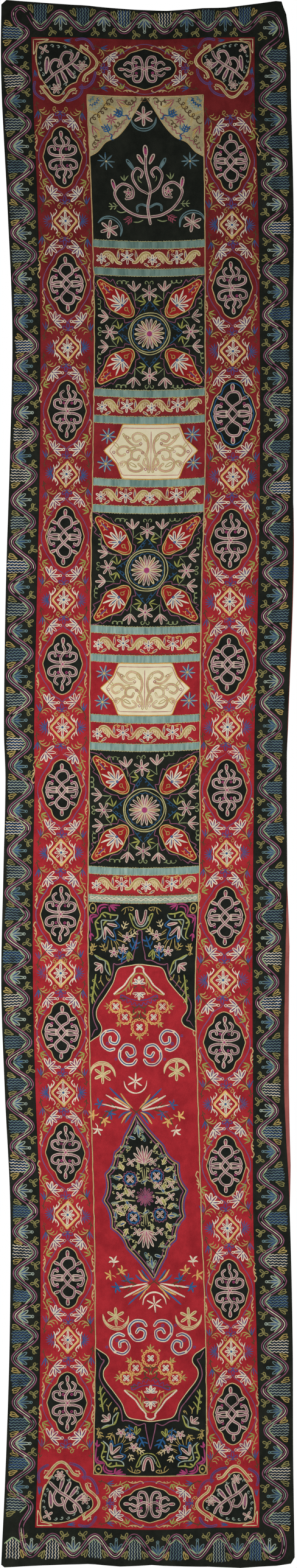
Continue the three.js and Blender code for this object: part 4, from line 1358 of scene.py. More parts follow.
def stitch_niche():
    work = Needlework("stitches_niche", 41)
    star = work.spot(-7, 198)
    bloom(work, star, 6, 19, 5.2, "blush", "rose", bare=1, line=2.2)
    crescent(work, star.at(0, 5), 24.5, "slate", -8, 188, 4.5)
    for across, down in ((-80, 287), (78, 286)):
        for k in range(8):
            ray = work.spot(across, down, 45 * k)
            work.row("slate", ray([(2, 0), (17, 0)]), BOLD, taper=0.3)
            work.row("azure", ray([(5, 0.2), (15, 0)]), FINE, lift=0.5)
        work.row("cream", work.spot(across, down)(ring(0.9)), USUAL, closed=True, lift=0.8)
    for across, down, turn in ((-78, 418, -125), (80, 406, -165)):
        bloom(work, work.spot(across, down), 6, 17, 5.2, "blush", "rose", start=-80, line=2.2)
        crescent(work, work.spot(across, down, turn), 24, "slate", -30, 160, 4.5)
    niche_spray(work, work.spot(-3, 332))
    felt_work = Needlework("stitches_spandrels", 42, FELT_FACE)
    for side, mirror in ((FELT_LEFT, 1), (FELT_RIGHT, -1)):
        spandrel_fill(felt_work, Spot(side, CENTRE_TOP + FELT_INSET, 0, (mirror, 1)))
        edge = eased(niche_line(side), steps=6)
        inside = beside(edge, 9 * mirror)[4:-3]
        felt_work.row("rose", zigzag(inside, 10, 4.2), 1.9, crisp=True)
        felt_work.row("sand", beside(edge, 0.8 * mirror), FINE, crisp=True)
    work.sewn()
    felt_work.sewn()


# Red bands

def acanthus(work, spot):
    """A curling plume that starts beside a large flower and rolls over a small one."""
    roll = [(38, 6), (31, 4.5), (26, -2), (21, -9.5), (14, -13.5), (7, -12), (4, -7)]
    cordon(work, spot(roll), "cream", "straw", 6.4)
    for x, y, turn, reach in ((20, -8, 84, 15), (15.5, -11, 76, 16), (10.5, -10, 62, 11)):
        drop_leaf(work, spot.at(x, y, turn), reach, 4.2, "cream", "straw", 2.2)


def band_row(work, upper, lower):
    """Flowers, plumes and leaves of one band between two ribbons."""
    pitch = 48
    middle = (upper + lower) / 2
    for k in range(5):
        large = k % 2 == 1
        spot = work.spot(CENTRE_LEFT + 16 + pitch * k, middle + (-2 if large else 2))
        if k < 4:
            bloom(work, spot, 6, 13 if large else 10, 3.8, "white", "violet", "blue", line=2)
        for side in mirrored(spot):
            inside = FELT_LEFT < side([(38, 0)])[0, 0] < FELT_RIGHT
            if large:
                work.row("gold", side([(0, -12.5), (6, -13.5), (10, -15), (15, -14), (17, -11)]), FINE)
                work.row("gold", side.at(8, -12)(ring(1.9)), FINE, closed=True)
                drop_leaf(work, side.at(16.5, -12, 88), 16, 4.4, "cream", "violet")
            elif inside:
                work.row("gold", side([(0, 13), (6, 14.5), (9, 12)]), FINE)
                drop_leaf(work, side.at(7, 13.5, -34), 11, 4.2, "cream", "violet")
                acanthus(work, side)


def stitch_bands():
    work = Needlework("stitches_bands", 51)
    for upper, lower in zip(RIBBONS[::2], RIBBONS[1::2]):
        band_row(work, upper, lower)
        for level, start, end in ((upper + 10.5, CENTRE_LEFT + 8, -30), (lower - 10, -60, CENTRE_RIGHT - 8)):
            work.row("bark", zigzag([(start, level), (end, level)], 7, 3.6), 1.4, crisp=True, lift=-0.2)
    edging = Needlework("stitches_ribbons", 52, FELT_FACE)
    for level in RIBBONS:
        for edge in (level - RIBBON_WIDE / 2, level + RIBBON_WIDE / 2):
            line = zigzag([(FELT_LEFT, edge), (FELT_RIGHT, edge)], 5, 1.0)
            line[:, 1] += edging.draw.normal(0, 0.25, len(line))
            edging.row("reed", line, 1.3, lift=-0.3)
    for high in (-5, 5):
        last = [(FELT_LEFT + 2, RIBBONS[-1] - 1), (FELT_RIGHT - 2, RIBBONS[-1])]
        edging.row("white", wavy(last, 19, high), FINE, lift=1.2)
    work.sewn()
    edging.sewn()


# Black squares

# Teeth of the line round a drop: outward along the diagonal, to its side
DROP_TEETH = [
    (151, 1), (141, 8), (134, 9), (135, 14), (121, 16), (121, 22), (107, 18), (95, 27), (83, 24), (81, 31),
    (65, 25), (55, 16), (48, 20), (42, 9), (42, 1),
]


def square_side(work, spot):
    """The flower, tulips, leaves and tendrils on one side of a square, drawn outward along the right."""
    for half in (spot, spot.at(0, 0, 0, (1, -1))):
        work.row("teal", half([(36.5, 22), (47, 14), (63, 0.5)]), FINE)
        work.row("teal", looped(half([(43, 13), (57, 4)]), 8, 2.6), 1.4)
        trefoil(work, half.at(61, 7, 78), "olive", 17)
        work.row("sage", half([(76, 8), (74, 16), (66, 25), (64, 28)]), FINE)
        work.row("sage", half([(64, 28), (73, 27.5), (82, 28.5)]), FINE)
        for turn, reach in ((-38, 18.5), (8, 20), (46, 18.5)):
            drop_leaf(work, half.at(82, 28.5, turn), reach, 4.2, "blush", "rose", 1.9)
        work.row("sage", looped(half([(98, 40), (100, 50), (99, 64)]), 9, 2.8), FINE)
        work.row("sage", half([(94, 1), (100, 2), (102, 6), (98, 8), (96, 5)]), FINE)
    bloom(work, spot.at(79, 0), 6, 15.5, 4.2, "blush", "rose", "magenta", start=0, line=1.9)


def drop_fill(work, spot):
    """A fan leaf with loops in one drop, drawn outward along the diagonal."""
    feet = spot.at(75, 0)
    for turn, reach in ((-84, 18), (-50, 21), (0, 25), (50, 21), (84, 18)):
        drop_leaf(work, feet.at(0, 0, turn), reach, 4.8, "white", "blue", 2.3)
    for turn in (-22, 22):
        work.row("white", feet.at(0, 0, turn)([(9, 0), (20, 0.5), (33, 0)]), 3.8, taper=0.5)
    work.row("blue", feet(ring(1.6)), BOLD, closed=True, lift=0.4)
    work.row("violet", spot([(106, 0), (116, 0), (127, 0)]), USUAL)
    for half in (spot, spot.at(0, 0, 0, (1, -1))):
        work.row("gold", looped(half([(107, 4), (118, 4.5), (128, 2)]), 10, 2.4), 1.5)
        work.row("gold", half([(127, 0), (131, 3.5)]), FINE)
        work.row("straw", half([(50.5, 0), (54, 7), (66, 13)]), USUAL)
    work.row("gold", spot([(127, 0), (134, 0)]), FINE)
    work.row("straw", spot([(54, 0), (61, 1), (65, 4), (68, 0), (64, -3), (60, 0)]), FINE)


def stitch_squares():
    work = Needlework("stitches_squares", 61)
    inlay = Needlework("stitches_drops", 62, FELT_FACE)
    teeth = np.array(DROP_TEETH, float)
    for number in range(len(SQUARES)):
        middle = square_middle(number)
        spot = work.spot(*middle)
        for k in range(18):
            drop_leaf(work, spot.at(0, 0, 20 * k).at(5, 0), 24, 4.4, "blush" if k % 3 else "cream", "rose", 2)
        for radius in (1.6, 4.2):
            work.row("magenta", spot(ring(radius)), BOLD, closed=True, lift=0.3)
        work.row("teal", spot(wavy(eased(ring(32), True), 11, 2.2)), FINE, closed=True)
        for radius in (36.2, 40.4):
            work.row("reed", spot(ring(radius) + work.draw.normal(0, 0.6, (12, 2))), 2.0, closed=True)
        for quadrant in range(4):
            square_side(work, work.spot(*middle, 90 * quadrant))
            for side in (-1, 1):
                ragged = teeth * (1, side) + work.draw.normal(0, 0.9, teeth.shape)
                work.row("heather", Spot(*middle, 45 + 90 * quadrant)(ragged), 1.7, crisp=True)
            drop_fill(inlay, Spot(*middle, 45 + 90 * quadrant))
            inlay.row("honey", drop_shape(middle, quadrant), 1.9, True, True)
    work.sewn()
    inlay.sewn()


# Cream hexagons

def hexagon_fill(work, spot):
    """A generic mirrored arabesque for a cream hexagon: pale scrolls and leaves with thin pink lines."""
    scrolls = [
        [(4, 40), (5, 22), (11, 6), (23, -4), (36, 0), (37, 13), (26, 16), (22, 8)],
        [(9, 8), (5, -12), (11, -30), (26, -37), (36, -30), (30, -20), (20, -24)],
        [(36, 2), (46, -9), (58, -9), (66, 0), (59, 9), (50, 5)],
        [(36, 12), (45, 20), (42, 34), (28, 39), (16, 33), (24, 24)],
        [(20, -14), (32, -12), (44, -20), (54, -34)],
        [(44, 24), (54, 20), (62, 26)], [(4, 30), (14, 24), (12, 14)],
    ]
    leaves = [(40, -26, -20), (48, 20, 48), (8, -20, -60), (28, 30, -30), (30, -8, 20), (62, -6, -48)]
    for half in mirrored(spot):
        for points in scrolls:
            cordon(work, half(points), "wheat", "petal", 5.2)
        for x, y, turn in leaves:
            drop_leaf(work, half.at(x, y, turn), 15, 6, "wheat", None, 1.9)
        for x, y in ((20, -16), (46, -28), (57, 26), (10, 34), (45, 0), (72, 2), (16, 2)):
            work.row("rose", half.at(x, y)(ring(2.4)), 1.4, closed=True)
    work.row("shell", spot([(0, -40), (0, 0), (0, 38)]), 1.6)


def stitch_hexagons():
    work = Needlework("stitches_hexagons", 71, FELT_FACE)
    ground = Needlework("stitches_panel_stars", 72)
    for number in range(len(HEXAGONS)):
        across, down, half_wide, half_tall = hexagon_shape(number)
        outline = quartered(HEXAGON_QUARTER, across, down, half_wide, half_tall)
        hexagon_fill(work, work.spot(across, down, 0, (0.98, half_tall / HEXAGON_DRAWN)))
        inner = quartered(HEXAGON_INNER, across, down, half_wide - 11, half_tall - 7)
        work.row("shell", inner, 1.5, True, True)
        work.row("amber", evened(np.vstack([outline, outline[:1]]), 6), FINE, crisp=True)
        for x, y in ((-79, -29), (82, -31), (-83, 26), (84, 24)):
            star = ground.spot(CENTRE_MIDDLE + x, down + y)
            for k in range(8):
                ray = star.at(0, 0, 45 * k + 10)
                ground.row("blue", ray([(2, 0.9), (15.5, 0.9)]), 3.2, lift=-0.2)
                ground.row("mist", ray([(2, -0.5), (16, -0.5)]), 2.1, lift=0.3)
            ground.row("gold", star(ring(1.0)), USUAL, closed=True, lift=0.6)
    work.sewn()
    ground.sewn()


# Bottom field

def arch_sprays(work, spot):
    """Leaves, tulips and flowers of one half of a black arch spandrel, from its upper outer corner."""
    work.row("straw", spot(ring(6.5, squash=1.45) + (7.5, 12.5)), USUAL, closed=True)
    work.row("straw", spot(ring(1.5) + (8, 13)), FINE, closed=True)
    magenta = [
        [(20, 26), (17, 17), (20, 8), (29, 4), (39, 5)], [(39, 5), (51, 15)], [(38, 6), (41, 17)],
        [(39, 5), (54, 10)], [(40, 4), (60, 4)], [(22, 21), (23, 13), (30, 9), (35, 10)],
        [(20, 26), (8, 25), (2.5, 30), (2.5, 48), (4, 60)], [(4, 60), (4.5, 75)], [(4, 60), (1.5, 69)],
        [(4, 60), (10.5, 66)], [(8, 41), (5.5, 33), (10, 29), (18, 28)],
    ]
    work.strokes("magenta", spot, magenta, 3.4, 0.25)
    leaf = [
        [(12, 71), (18, 66), (17, 55), (13, 41), (17, 33), (22, 28), (24, 23), (31, 19), (43, 22.5),
         (56.5, 22.5)],
        [(26, 22), (33, 28)], [(42, 22.5), (42, 30)], [(14, 38), (20, 41)], [(17, 51), (23.5, 51)],
        [(28, 44), (31, 38), (36, 34)],
    ]
    work.strokes("olive", spot, leaf, BOLD)
    rim = [(56.5, 22.5), (54, 30), (44, 34), (26, 34), (25, 43), (27, 56), (25, 65), (15.5, 74)]
    work.row("mist", spot(rim), USUAL)
    frill = [(50, 33), (60, 44), (49, 50), (52, 60), (53, 70), (45, 69), (36.5, 64), (33, 76), (28, 70)]
    work.row("azure", spot(frill), 2.5)
    for x, y, turn, reach in ((36, 40, 10, 19), (33, 46, 48, 24), (32, 47, 92, 23)):
        drop_leaf(work, spot.at(x, y, turn), reach, 5, "blush", "rose", 2.1)
    flowers = [(75, 64), (68, 87), (50, 94)]
    stems = [
        [(56, 52), (66, 60)], [(57, 58), (67, 64)], [(54, 68), (66, 72), (75, 76)], [(53, 70), (60, 80)],
        [(49, 71), (54, 78), (58, 93)], [(44, 70), (46, 80), (48, 88)], [(39, 69), (38, 79), (36, 91)],
        [(73, 98), (66, 104), (58, 108)], [(60, 88), (55, 100)],
    ]
    work.strokes("straw", spot, stems, FINE)
    for x, y in flowers:
        bloom(work, spot.at(x, y), 5, 9.5, 4, "blush", "rose", "magenta", line=1.9)
    for x, y, turn in ((66, 50, -68), (34, 94, -118), (6, 96, -70), (80, 62, -38)):
        sprig(work, spot.at(x, y, turn), "cream" if x > 60 else "straw", 18, 2)
    for x, y, turn in ((84, 90, -66), (65, 112, -82)):
        sprig(work, spot.at(x, y, turn), "azure", 27, 2, BOLD)
    for x, y, turn in ((79, 91, 58), (77, 94, 84)):
        drop_leaf(work, spot.at(x, y, turn), 15, 4.6, "olive", None, 2.1)
    work.row("olive", spot([(11.5, 100), (28, 108), (38, 113), (42, 126), (45, 138)]), BOLD)
    work.row("mist", spot([(11.5, 101), (21, 108), (33, 111), (34, 125), (43, 138)]), USUAL)
    work.strokes("olive", spot, [[(20, 104), (25, 110)], [(36, 114), (40, 119)]])
    for turn, reach in ((188, 15), (140, 17), (92, 15)):
        drop_leaf(work, spot.at(27, 119, turn), reach, 5, "blush", "rose", 2.1)
    work.row("straw", spot([(1, 100), (6, 97), (5, 90), (9, 80)]), USUAL)
    work.row("straw", spot(ring(2.2) + (7, 99)), FINE, closed=True)
    work.row("olive", spot([(15.5, 137), (13, 152), (10.5, 169), (8, 186), (9, 194)]), BOLD)
    for x, y, turn, reach in ((14.5, 152, 62, 17), (12, 166, 66, 15), (10, 180, 70, 12)):
        work.row("olive", spot.at(x, y, turn)([(0, 0), (reach * 0.5, 1), (reach, 0)]), USUAL)
        work.row("olive", spot.at(x - 4, y - 2)(ring(2)), FINE, closed=True)
    twigs = [
        [(26, 139), (25, 148), (32, 160)], [(25, 148), (20, 154)],
        [(35, 137), (38, 146), (42, 147), (40, 142)],
    ]
    work.strokes("straw", spot, twigs)


def arch_crown(work, spot):
    """The tulip at the head of an arch, between its two halves."""
    for half in mirrored(spot):
        work.row("olive", half([(0, 50), (8, 48), (14, 43), (19, 32), (23, 20), (17, 23), (15, 34)]), USUAL)
        work.row("mist", half([(0, 45), (7, 42), (12, 34), (14, 25)]), USUAL)
        work.row("straw", half([(39, 16), (33, 10), (24, 7), (17, 8), (15, 11), (20, 14), (22, 10)]), FINE)
        work.row("straw", half([(30, 9), (31, 17), (34, 22)]), FINE)
        work.row("straw", half([(26, 8), (24, 15)]), FINE)
        work.row("straw", half([(14, 48), (20, 52), (26, 58)]), FINE)
        work.row("straw", half([(20, 52), (19, 46)]), FINE)
    head = [(-9, 14), (-7.5, 26), (-4, 36), (0, 39), (4, 36), (7.5, 26), (9, 14)]
    cordon(work, spot(head), "blush", "rose", 6)


def ringed_flower(work, spot, radius):
    """A small cross flower in a ring of two rows."""
    work.row("gold", spot(wavy(eased(ring(radius), True), 7, 2.0)), USUAL, closed=True)
    work.row("gold", spot(wavy(eased(ring(radius * 0.82), True), 6, 1.4)), FINE, closed=True)
    bloom(work, spot, 4, 7, 3.8, "white", "blue", start=-45, line=2)
    for side in mirrored(spot):
        curl(work, side.at(radius * 0.85, radius * 0.75, 30), "gold", 4)


def basket(work, spot):
    """A scrolled basket with five ringed flowers, drawn downward from the head of an arch."""
    for half in mirrored(spot):
        arch = eased([(0, 3.5), (5, 5), (9, 9), (9.5, 15), (20, 27), (29, 40), (41, 50), (51, 59)])
        for high in (-1.6, 1.6):
            work.row("white", wavy(half(arch), 6, high), USUAL)
        work.row("straw", half([(0, 17), (8, 19), (15, 28), (24, 44), (36, 54), (50, 60)]), BOLD)
        for x, y, low in ((13, 26, 42), (18, 33, 49), (24, 42, 55)):
            work.row("straw", half([(x, y), (x + 2, (y + low) / 2), (x + 1, low)]), USUAL, taper=0.4)
        work.row("gold", half([(12, 45), (16, 54), (26, 58)]), USUAL)
        work.row("gold", half([(16, 54), (18, 60)]), USUAL)
        for turn, reach in ((-90, 13.5), (-46, 12), (-4, 12)):
            drop_leaf(work, half.at(0.5, 37, turn), reach, 3.8, "white", "blue", 1.9)
        for turn, reach in ((90, 13.5), (48, 12), (8, 12)):
            drop_leaf(work, half.at(0.5, 55, turn), reach, 3.8, "white", "blue", 1.9)
        twigs = [
            [(4, 42), (9, 44), (10, 48)], [(0, 80), (8, 84), (16, 80)], [(9, 84), (12, 92), (6, 96)],
            [(2, 98), (8, 104), (14, 102)], [(24, 68), (32, 66), (40, 67)], [(0, 90), (3, 100), (0, 108)],
        ]
        work.strokes("bark", half, twigs, BOLD)
        work.row("violet", half([(0, 70), (18, 67), (33, 60), (37, 62), (35, 68)]), USUAL)
        work.row("violet", half(zigzag(eased([(0, 78), (18, 74), (35, 66)]), 9, 6)), FINE)
        blades = [[(18, 79), (31, 84)], [(5, 91), (15, 99)], [(3, 88), (-1, 96)]]
        work.strokes("straw", half, blades, BOLD, 0.4)
        for x, y, radius, turn in ((47, 82, 12, 0), (29, 102, 13.6, 48)):
            ringed_flower(work, half.at(x, y), radius)
            trefoil(work, half.at(x, y, turn).at(radius + 1, 0), "straw", 12)
    ringed_flower(work, spot.at(0, 121), 16.2)
    trefoil(work, spot.at(0, 137, 90), "straw", 12)


def scroll_leaves(work, spot):
    """Generic white and blue leaf scrolls in an arc below a basket."""
    for x, y, turn, mirror in ((-60, 146, 52, 1), (-25, 174, 16, 1), (25, 174, -16, -1), (60, 146, -52, -1)):
        leaf = spot.at(x, y, turn, (1.12 * mirror, 1.12))
        cordon(work, leaf([(-15, -2), (-8, -15), (6, -16), (12, -5), (4, 2), (-3, -3)]), "white", "blue", 6.4)
        cordon(work, leaf([(-15, -2), (-12, 10), (0, 17), (13, 13), (17, 4)]), "white", "blue", 6.4)
        work.row("violet", leaf.at(3, 8)(ring(2.2)), FINE, closed=True)
        work.row("violet", leaf.at(-18, 14)(ring(1.8)), FINE, closed=True)


def star_and_moon(work, spot, turn, edge, core, slim=False):
    """A six-petalled star in the hollow of a crescent, both of them slim or full."""
    if slim:
        for k in range(6):
            work.row(edge, spot.at(0, 0, 60 * k - 86)([(1, 0), (9, 0.3), (17.5, 0)]), 3.2)
        work.row(edge, spot.at(0, 0, turn)(ring(25, -4, 184)), 3.2, taper=0.5)
    else:
        bloom(work, spot, 6, 17.5, 4.6, edge, core, start=-88, line=2.2)
        crescent(work, spot.at(0, 0, turn), 25.5, edge, -8, 188, 6, True)


def lily(work, spot, colour):
    """A drooping flower of four curled petals on a bent stalk."""
    for turn, reach in ((-72, 10), (-26, 14), (18, 14), (66, 10)):
        blade = spot.at(0, 0, turn)
        tip = (reach, 3 if turn > 0 else -2.5)
        work.row(colour, blade([(0, 0), (reach * 0.6, 0.8), tip]), 3.6, taper=0.3)
    work.row(colour, spot([(0, 0), (-5, -1), (-9, -5)]), USUAL)


def field_sprays(work, spot):
    """Feathered strokes beside a tip of the field medallion, with a drooping stem of lilies each side."""
    for half in mirrored(spot):
        strokes = [
            ("gold", [(7, -4), (17, -14), (30, -32)]), ("blue", [(9, -4), (26, -18), (52, -42)]),
            ("white", [(11, -2), (30, -12), (60, -28)]), ("white", [(12, 0), (34, -4), (68, -10)]),
            ("gold", [(9, -3), (22, -13), (44, -24)]), ("blue", [(11, 2), (25, 6), (36, 16)]),
            ("gold", [(9, 3), (20, 10), (31, 26)]), ("blue", [(8, 4), (16, 14), (24, 26)]),
        ]
        for colour, points in strokes:
            work.row(colour, half(points), 3.6, taper=0.25)
        stems = [
            [(-4, 6), (10, -4), (18, -18)], [(34, -3), (46, -6), (60, -13)], [(38, 0), (48, 3), (58, 2)],
            [(34, -2), (56, 4), (68, 18), (74, 34)], [(6, 4), (16, 11), (22, 20)], [(40, -4), (52, -16)],
        ]
        work.strokes("bark", half, stems)
        lilies = [
            (70, -8, -30, "azure"), (54, 6, 140, "azure"), (84, 13, -6, "gold"), (65, 20, 130, "gold"),
            (78, 38, 84, "white"),
        ]
        for x, y, turn, colour in lilies:
            lily(work, half.at(x, y, turn), colour)


def field_outline():
    """The cusped outline of the field medallion: points with hollow sides between them."""
    # Points of its right side, from the middle: across, down, hollow of the edge that follows.
    # The left side is the right one turned half round.
    right = np.array([
        (-13, -157, 0.03), (37, -97, 0.12), (67, -61, 0.12), (82, -10, 0.12), (76, 40, 0.12),
        (56, 82, 0.12), (36, 113, 0.03),
    ])
    whole = np.vstack([right, right * (-1, -1, 1)])
    cusps = whole[:, :2]
    ahead = np.roll(cusps, -1, 0) - cusps
    hollow = np.column_stack([-ahead[:, 1], ahead[:, 0]]) * whole[:, 2:]
    points = []
    for cusp, way, dip in zip(cusps, ahead, hollow):
        points += [cusp, cusp + way * 0.25 + dip * 0.75]
        points += [cusp + way * 0.5 + dip, cusp + way * 0.75 + dip * 0.75]
    return np.array(points) + FIELD_MEDALLION


def medallion_garden(work, spot):
    """Small flowers, leaves and curling stems that fill the field medallion, drawn about its middle."""
    bloom(work, spot, 12, 18, 4.2, "mauve", "rose", "magenta", bare=2, line=1.9)
    for half in (spot, spot.at(0, 0, 180)):
        for turn, reach in ((-158, 22), (-136, 28), (-114, 34), (-96, 35), (-78, 34), (-58, 31), (-28, 20)):
            drop_leaf(work, half.at(0, -64, turn), reach, 4.6, "blush", "rose", 2)
        work.row("magenta", half([(0, -64), (-1, -76)]), BOLD, lift=0.3)
        for x in (-5, 0, 5):
            work.row("reed", half([(0, -20), (x * 0.7, -40), (x, -54)]), FINE)
        tendrils = [[(3, -56), (9, -54), (8, -48), (5, -52)], [(4, -34), (11, -30), (14, -36), (9, -38)]]
        for side in mirrored(half):
            work.strokes("reed", side, tendrils, FINE)
        for turn, reach, tone in ((112, 18, "sage"), (84, 24, "blue"), (54, 18, "sage")):
            drop_leaf(work, half.at(-11, -138, turn), reach, 5, "mist", tone)
        work.row("mist", half([(-10, -138), (-11, -147)]), USUAL)
        work.row("reed", looped(half([(-36, -86), (-30, -92), (-26, -98)]), 8, 2.6), FINE)
        work.row("reed", looped(half([(22, -86), (30, -84), (36, -80)]), 8, 2.6), FINE)
    crosses = [(-27, -66), (18, -67), (-28, -7), (-51, 0), (-52, 23), (-26, 22)]
    leaves = [
        (-42, -50, -118, "olive"), (-44, -36, 186, "blue"), (-44, -22, 150, "olive"), (36, -62, -58, "olive"),
        (40, -50, -22, "blue"), (42, -36, 24, "olive"), (-33, -2, -115, "olive"), (-34, 14, 120, "olive"),
    ]
    for whole in (spot, spot.at(0, 0, 180)):
        for x, y in crosses:
            bloom(work, whole.at(x, y), 4, 9, 4.2, "blush", "rose", start=-35, line=1.9)
            curl(work, whole.at(x - 9, y - 5, 200), "reed", 4)
            curl(work, whole.at(x + 8, y + 6, 30), "reed", 4)
        for x, y in ((-29, -34), (24, -40)):
            work.row("azure", whole.at(x, y)(wavy(eased(ring(10.4), True), 8, 1.4)), BOLD, closed=True)
            work.row("mauve", whole.at(x, y)(wavy(eased(ring(14.2), True), 7, 2.6)), FINE, closed=True)
            bloom(work, whole.at(x, y), 4, 8.5, 4, "blush", "rose", start=-45, line=1.9)
        for x, y, turn, tone in leaves:
            drop_leaf(work, whole.at(x, y, turn), 16, 6, "cream", tone, 1.9)
            for side in (-38, 38):
                work.row("cream", whole.at(x, y, turn + side)([(0, 0), (6, 1), (10, -1)]), FINE)
        # Places that are taken already: across, down, radius to keep off
        busy = [(way * a, way * b, 14) for a, b in crosses for way in (-1, 1)]
        busy += [(x, y, 14) for x, y, _, _ in leaves]
        busy += [(-29, -34, 24), (24, -40, 24), (0, 0, 26), (0, -42, 12)]
        busy += [(-14, -82, 17), (0, -88, 24), (14, -82, 17), (-11, -128, 15)]
        for tight in (0, 5):
            for x, y in [(a, b) for a in range(-66, 67, 6) for b in range(-126, 1, 6)]:
                clear = min(math.hypot(x - a, y - b) - far for a, b, far in busy) + tight
                if clear < 0 or abs(x - 0.06 * y) > min(63, 0.64 * (146 - abs(y))):
                    continue
                busy.append((x, y, 14))
                tuft = whole.at(x, y, 47 * x + 31 * y)
                curl(work, tuft.at(-5, 2, 160), "reed", 4)
                if not tight:
                    edge, core = (("reed", "sage"), ("mist", "blue"), ("slate", "sage"))[(x + y) // 6 % 3]
                    drop_leaf(work, tuft.at(-6, 0), 14, 5.6, edge, core, FINE)
        work.row("reed", whole([(-20, 8), (-38, 7), (-56, 11), (-64, 14)]), USUAL)
        drop_leaf(work, whole.at(-54, 12, 170), 14, 4, "mist", "blue")
        curls = [
            [(-50, -62), (-44, -68), (-36, -70)], [(-12, -48), (-14, -38), (-10, -30)],
            [(40, -18), (48, -26), (56, -24)], [(18, -28), (22, -22), (30, -20)],
            [(58, -52), (62, -44), (60, -36)], [(-64, -14), (-58, -20), (-50, -16)],
        ]
        for points in curls:
            work.row("reed", looped(whole(eased(points)), 8, 2.4), FINE)


# The line that keeps off an arch: half width and height of its neck, then shares of the arch's side
ECHO_NECKS = {
    1: [(4, 64), (5, 48), (7.4, 33), (11, 20), (13, 9)],
    -1: [(0.5, 52), (3, 42), (6, 28), (9, 14), (11, 4)],
}
ECHO_SIDE = [
    (0.22, -0.056), (0.345, -0.005), (0.45, 0.01), (0.507, 0.0), (0.515, 0.085), (0.555, 0.185),
    (0.64, 0.265), (0.75, 0.37), (0.845, 0.46), (0.92, 0.565), (0.935, 0.645), (0.905, 0.745), (0.85, 0.83),
    (0.905, 0.85), (0.97, 0.94),
]


def arch_echo(arch, flip):
    """The line that follows an arch on the black felt and rises to a neck above its head."""
    across, top, left_leg, right_leg = arch
    sides = []
    for side, leg, way in ((FELT_LEFT, left_leg, -1), (FELT_RIGHT, right_leg, 1)):
        neck = [(across + way * wide, top - flip * high) for wide, high in ECHO_NECKS[flip]]
        shoulder = [(across + x * (side - across), top + y * (leg - top)) for x, y in ECHO_SIDE]
        sides.append(neck + shoulder)
    return np.array(sides[0][::-1] + sides[1])


# Stars at each tip of the field medallion, the middle one first: across and down from the tip
FIELD_STARS = {1: [(0, -56), (-65, -66), (83, -73)], -1: [(0, -40), (-76, -66), (66, -66)]}


def stitch_field():
    felt_work = Needlework("stitches_arches", 81, FELT_FACE)
    work = Needlework("stitches_field", 82)
    garden = Needlework("stitches_field_medallion", 83, FELT_FACE)
    upper = RIBBONS[-1] + RIBBON_WIDE / 2
    for arch, edge, flip, tall in ((UPPER_ARCH, upper, 1, 1), (LOWER_ARCH, CENTRE_BOTTOM, -1, LOWER_SPRAYS)):
        for side, mirror in ((FELT_LEFT, 1), (FELT_RIGHT, -1)):
            arch_sprays(felt_work, felt_work.spot(side, edge, 0, (mirror, flip * tall)))
        arch_crown(felt_work, Spot(CENTRE_MIDDLE - 4, edge, 0, (1, flip * tall)))
        felt_work.row("cream", arch_line(arch), FINE, crisp=True)
        felt_work.row("mauve", arch_echo(arch, flip), 2.1)
        basket(work, Spot(arch[0], arch[1], 0, (1, flip)))
        scroll_leaves(work, Spot(arch[0], arch[1], 0, (1, flip)))
    outline = field_outline()
    rounds = [(3.9, "cobalt", 2.6, work), (0.3, "biscuit", 1.9, garden), (-5.2, "mauve", 2.2, garden)]
    for by, colour, wide, sewing in rounds:
        sewing.row(colour, beside(outline, -by, True), wide, True, True)
    across, down = FIELD_MEDALLION
    medallion_garden(garden, Spot(across, down))
    for flip in (1, -1):
        tip = Spot(across - flip * 13, down - flip * 166, 0, (1, flip))
        field_sprays(work, tip)
        middle, *others = FIELD_STARS[flip]
        star_and_moon(work, tip.at(*middle, 0, (0.92, 0.92)), 0, "white", "sand", True)
        for place in others:
            star_and_moon(work, tip.at(*place), 180, "cream", "olive")
    felt_work.sewn()
    work.sewn()
    garden.sewn()


# Camera, light and stage

FRAME_TALL, FRAME_MIDDLE = 3.014, -1.487
CAMERA_AWAY = 9.0
# How strongly the white surroundings light the cloth; they look fully white themselves
ROOM_LIGHT = 0.13
FLOOR_LEVEL, FLOOR_SIZE = -3.2, 2.1


def set_camera():
    data = bpy.data.cameras.new("camera")
    data.sensor_fit = "VERTICAL"
    data.lens = data.sensor_height * CAMERA_AWAY / FRAME_TALL
    camera = bpy.data.objects.new("camera", data)
    camera.location = (0, -CAMERA_AWAY, FRAME_MIDDLE)
    camera.rotation_euler = (math.pi / 2, 0, 0)
    bpy.context.collection.objects.link(camera)
    bpy.context.scene.camera = camera


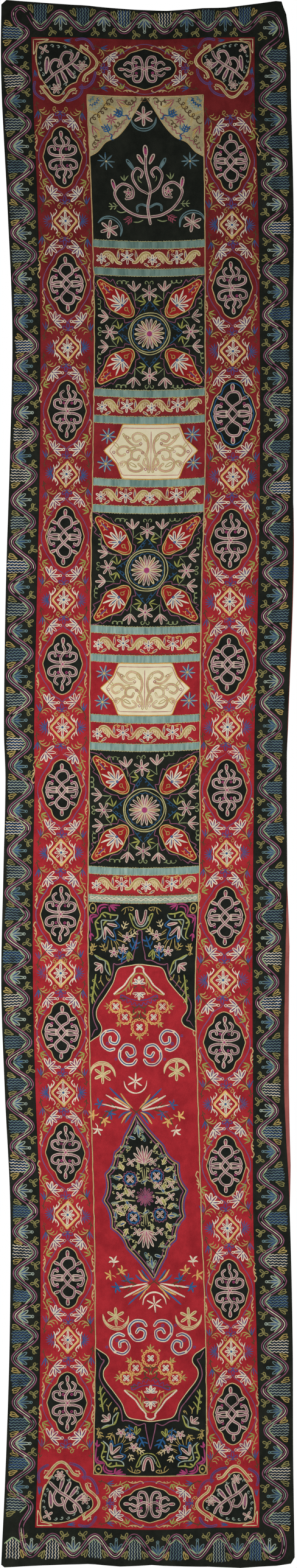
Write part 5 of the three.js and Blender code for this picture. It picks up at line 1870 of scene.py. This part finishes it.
def area_light(name, place, aim, size, power):
    data = bpy.data.lights.new(name, "AREA")
    data.shape = "RECTANGLE"
    data.size, data.size_y = size
    data.energy = power
    light = bpy.data.objects.new(name, data)
    light.location = place
    heading = np.array(aim, float) - np.array(place, float)
    flat_way = math.hypot(heading[0], heading[1])
    tilt = math.atan2(flat_way, -heading[2])
    light.rotation_euler = (tilt, 0, math.atan2(heading[1], heading[0]) - math.pi / 2)
    bpy.context.collection.objects.link(light)


def set_light():
    area_light("key", (-1.1, -2.2, -1.72), (0, 0, -1.72), (0.9, 1.2), 45)
    area_light("fill", (1.6, -2.4, -1.85), (0, 0, -1.75), (1.2, 1.4), 22)
    area_light("back", (0.4, 3.0, -1.2), (0, 0, -1.6), (2.0, 2.5), 40)
    world = bpy.data.worlds.new("studio")
    world.use_nodes = True
    nodes, links = world.node_tree.nodes, world.node_tree.links
    nodes["Background"].inputs["Color"].default_value = (1, 1, 1, 1)
    seen = nodes.new("ShaderNodeLightPath")
    level = nodes.new("ShaderNodeMapRange")
    level.inputs["To Min"].default_value = ROOM_LIGHT
    level.inputs["To Max"].default_value = 1.0
    links.new(seen.outputs["Is Camera Ray"], level.inputs["Value"])
    links.new(level.outputs["Result"], nodes["Background"].inputs["Strength"])
    bpy.context.scene.world = world
    bpy.context.scene.view_settings.view_transform = "Standard"


def set_floor():
    bpy.ops.mesh.primitive_plane_add(size=FLOOR_SIZE, location=(0, 0, FLOOR_LEVEL))
    floor = bpy.context.object
    floor.name = "floor"
    pale = Finish("floor_paint", Roughness=0.85)
    pale.feed("Base Color", pale.mix(pale.noise(pale.place(), 3), (0.76, 0.76, 0.74, 1), (0.8, 0.8, 0.78, 1)))
    floor.data.materials.append(pale.material)
    floor.select_set(False)


make_lining()
make_borders()
make_centre()
make_ribbons()
make_felt()
stitch_border()
stitch_strips()
stitch_ends()
stitch_niche()
stitch_bands()
stitch_squares()
stitch_hexagons()
stitch_field()
set_camera()
set_light()
set_floor()

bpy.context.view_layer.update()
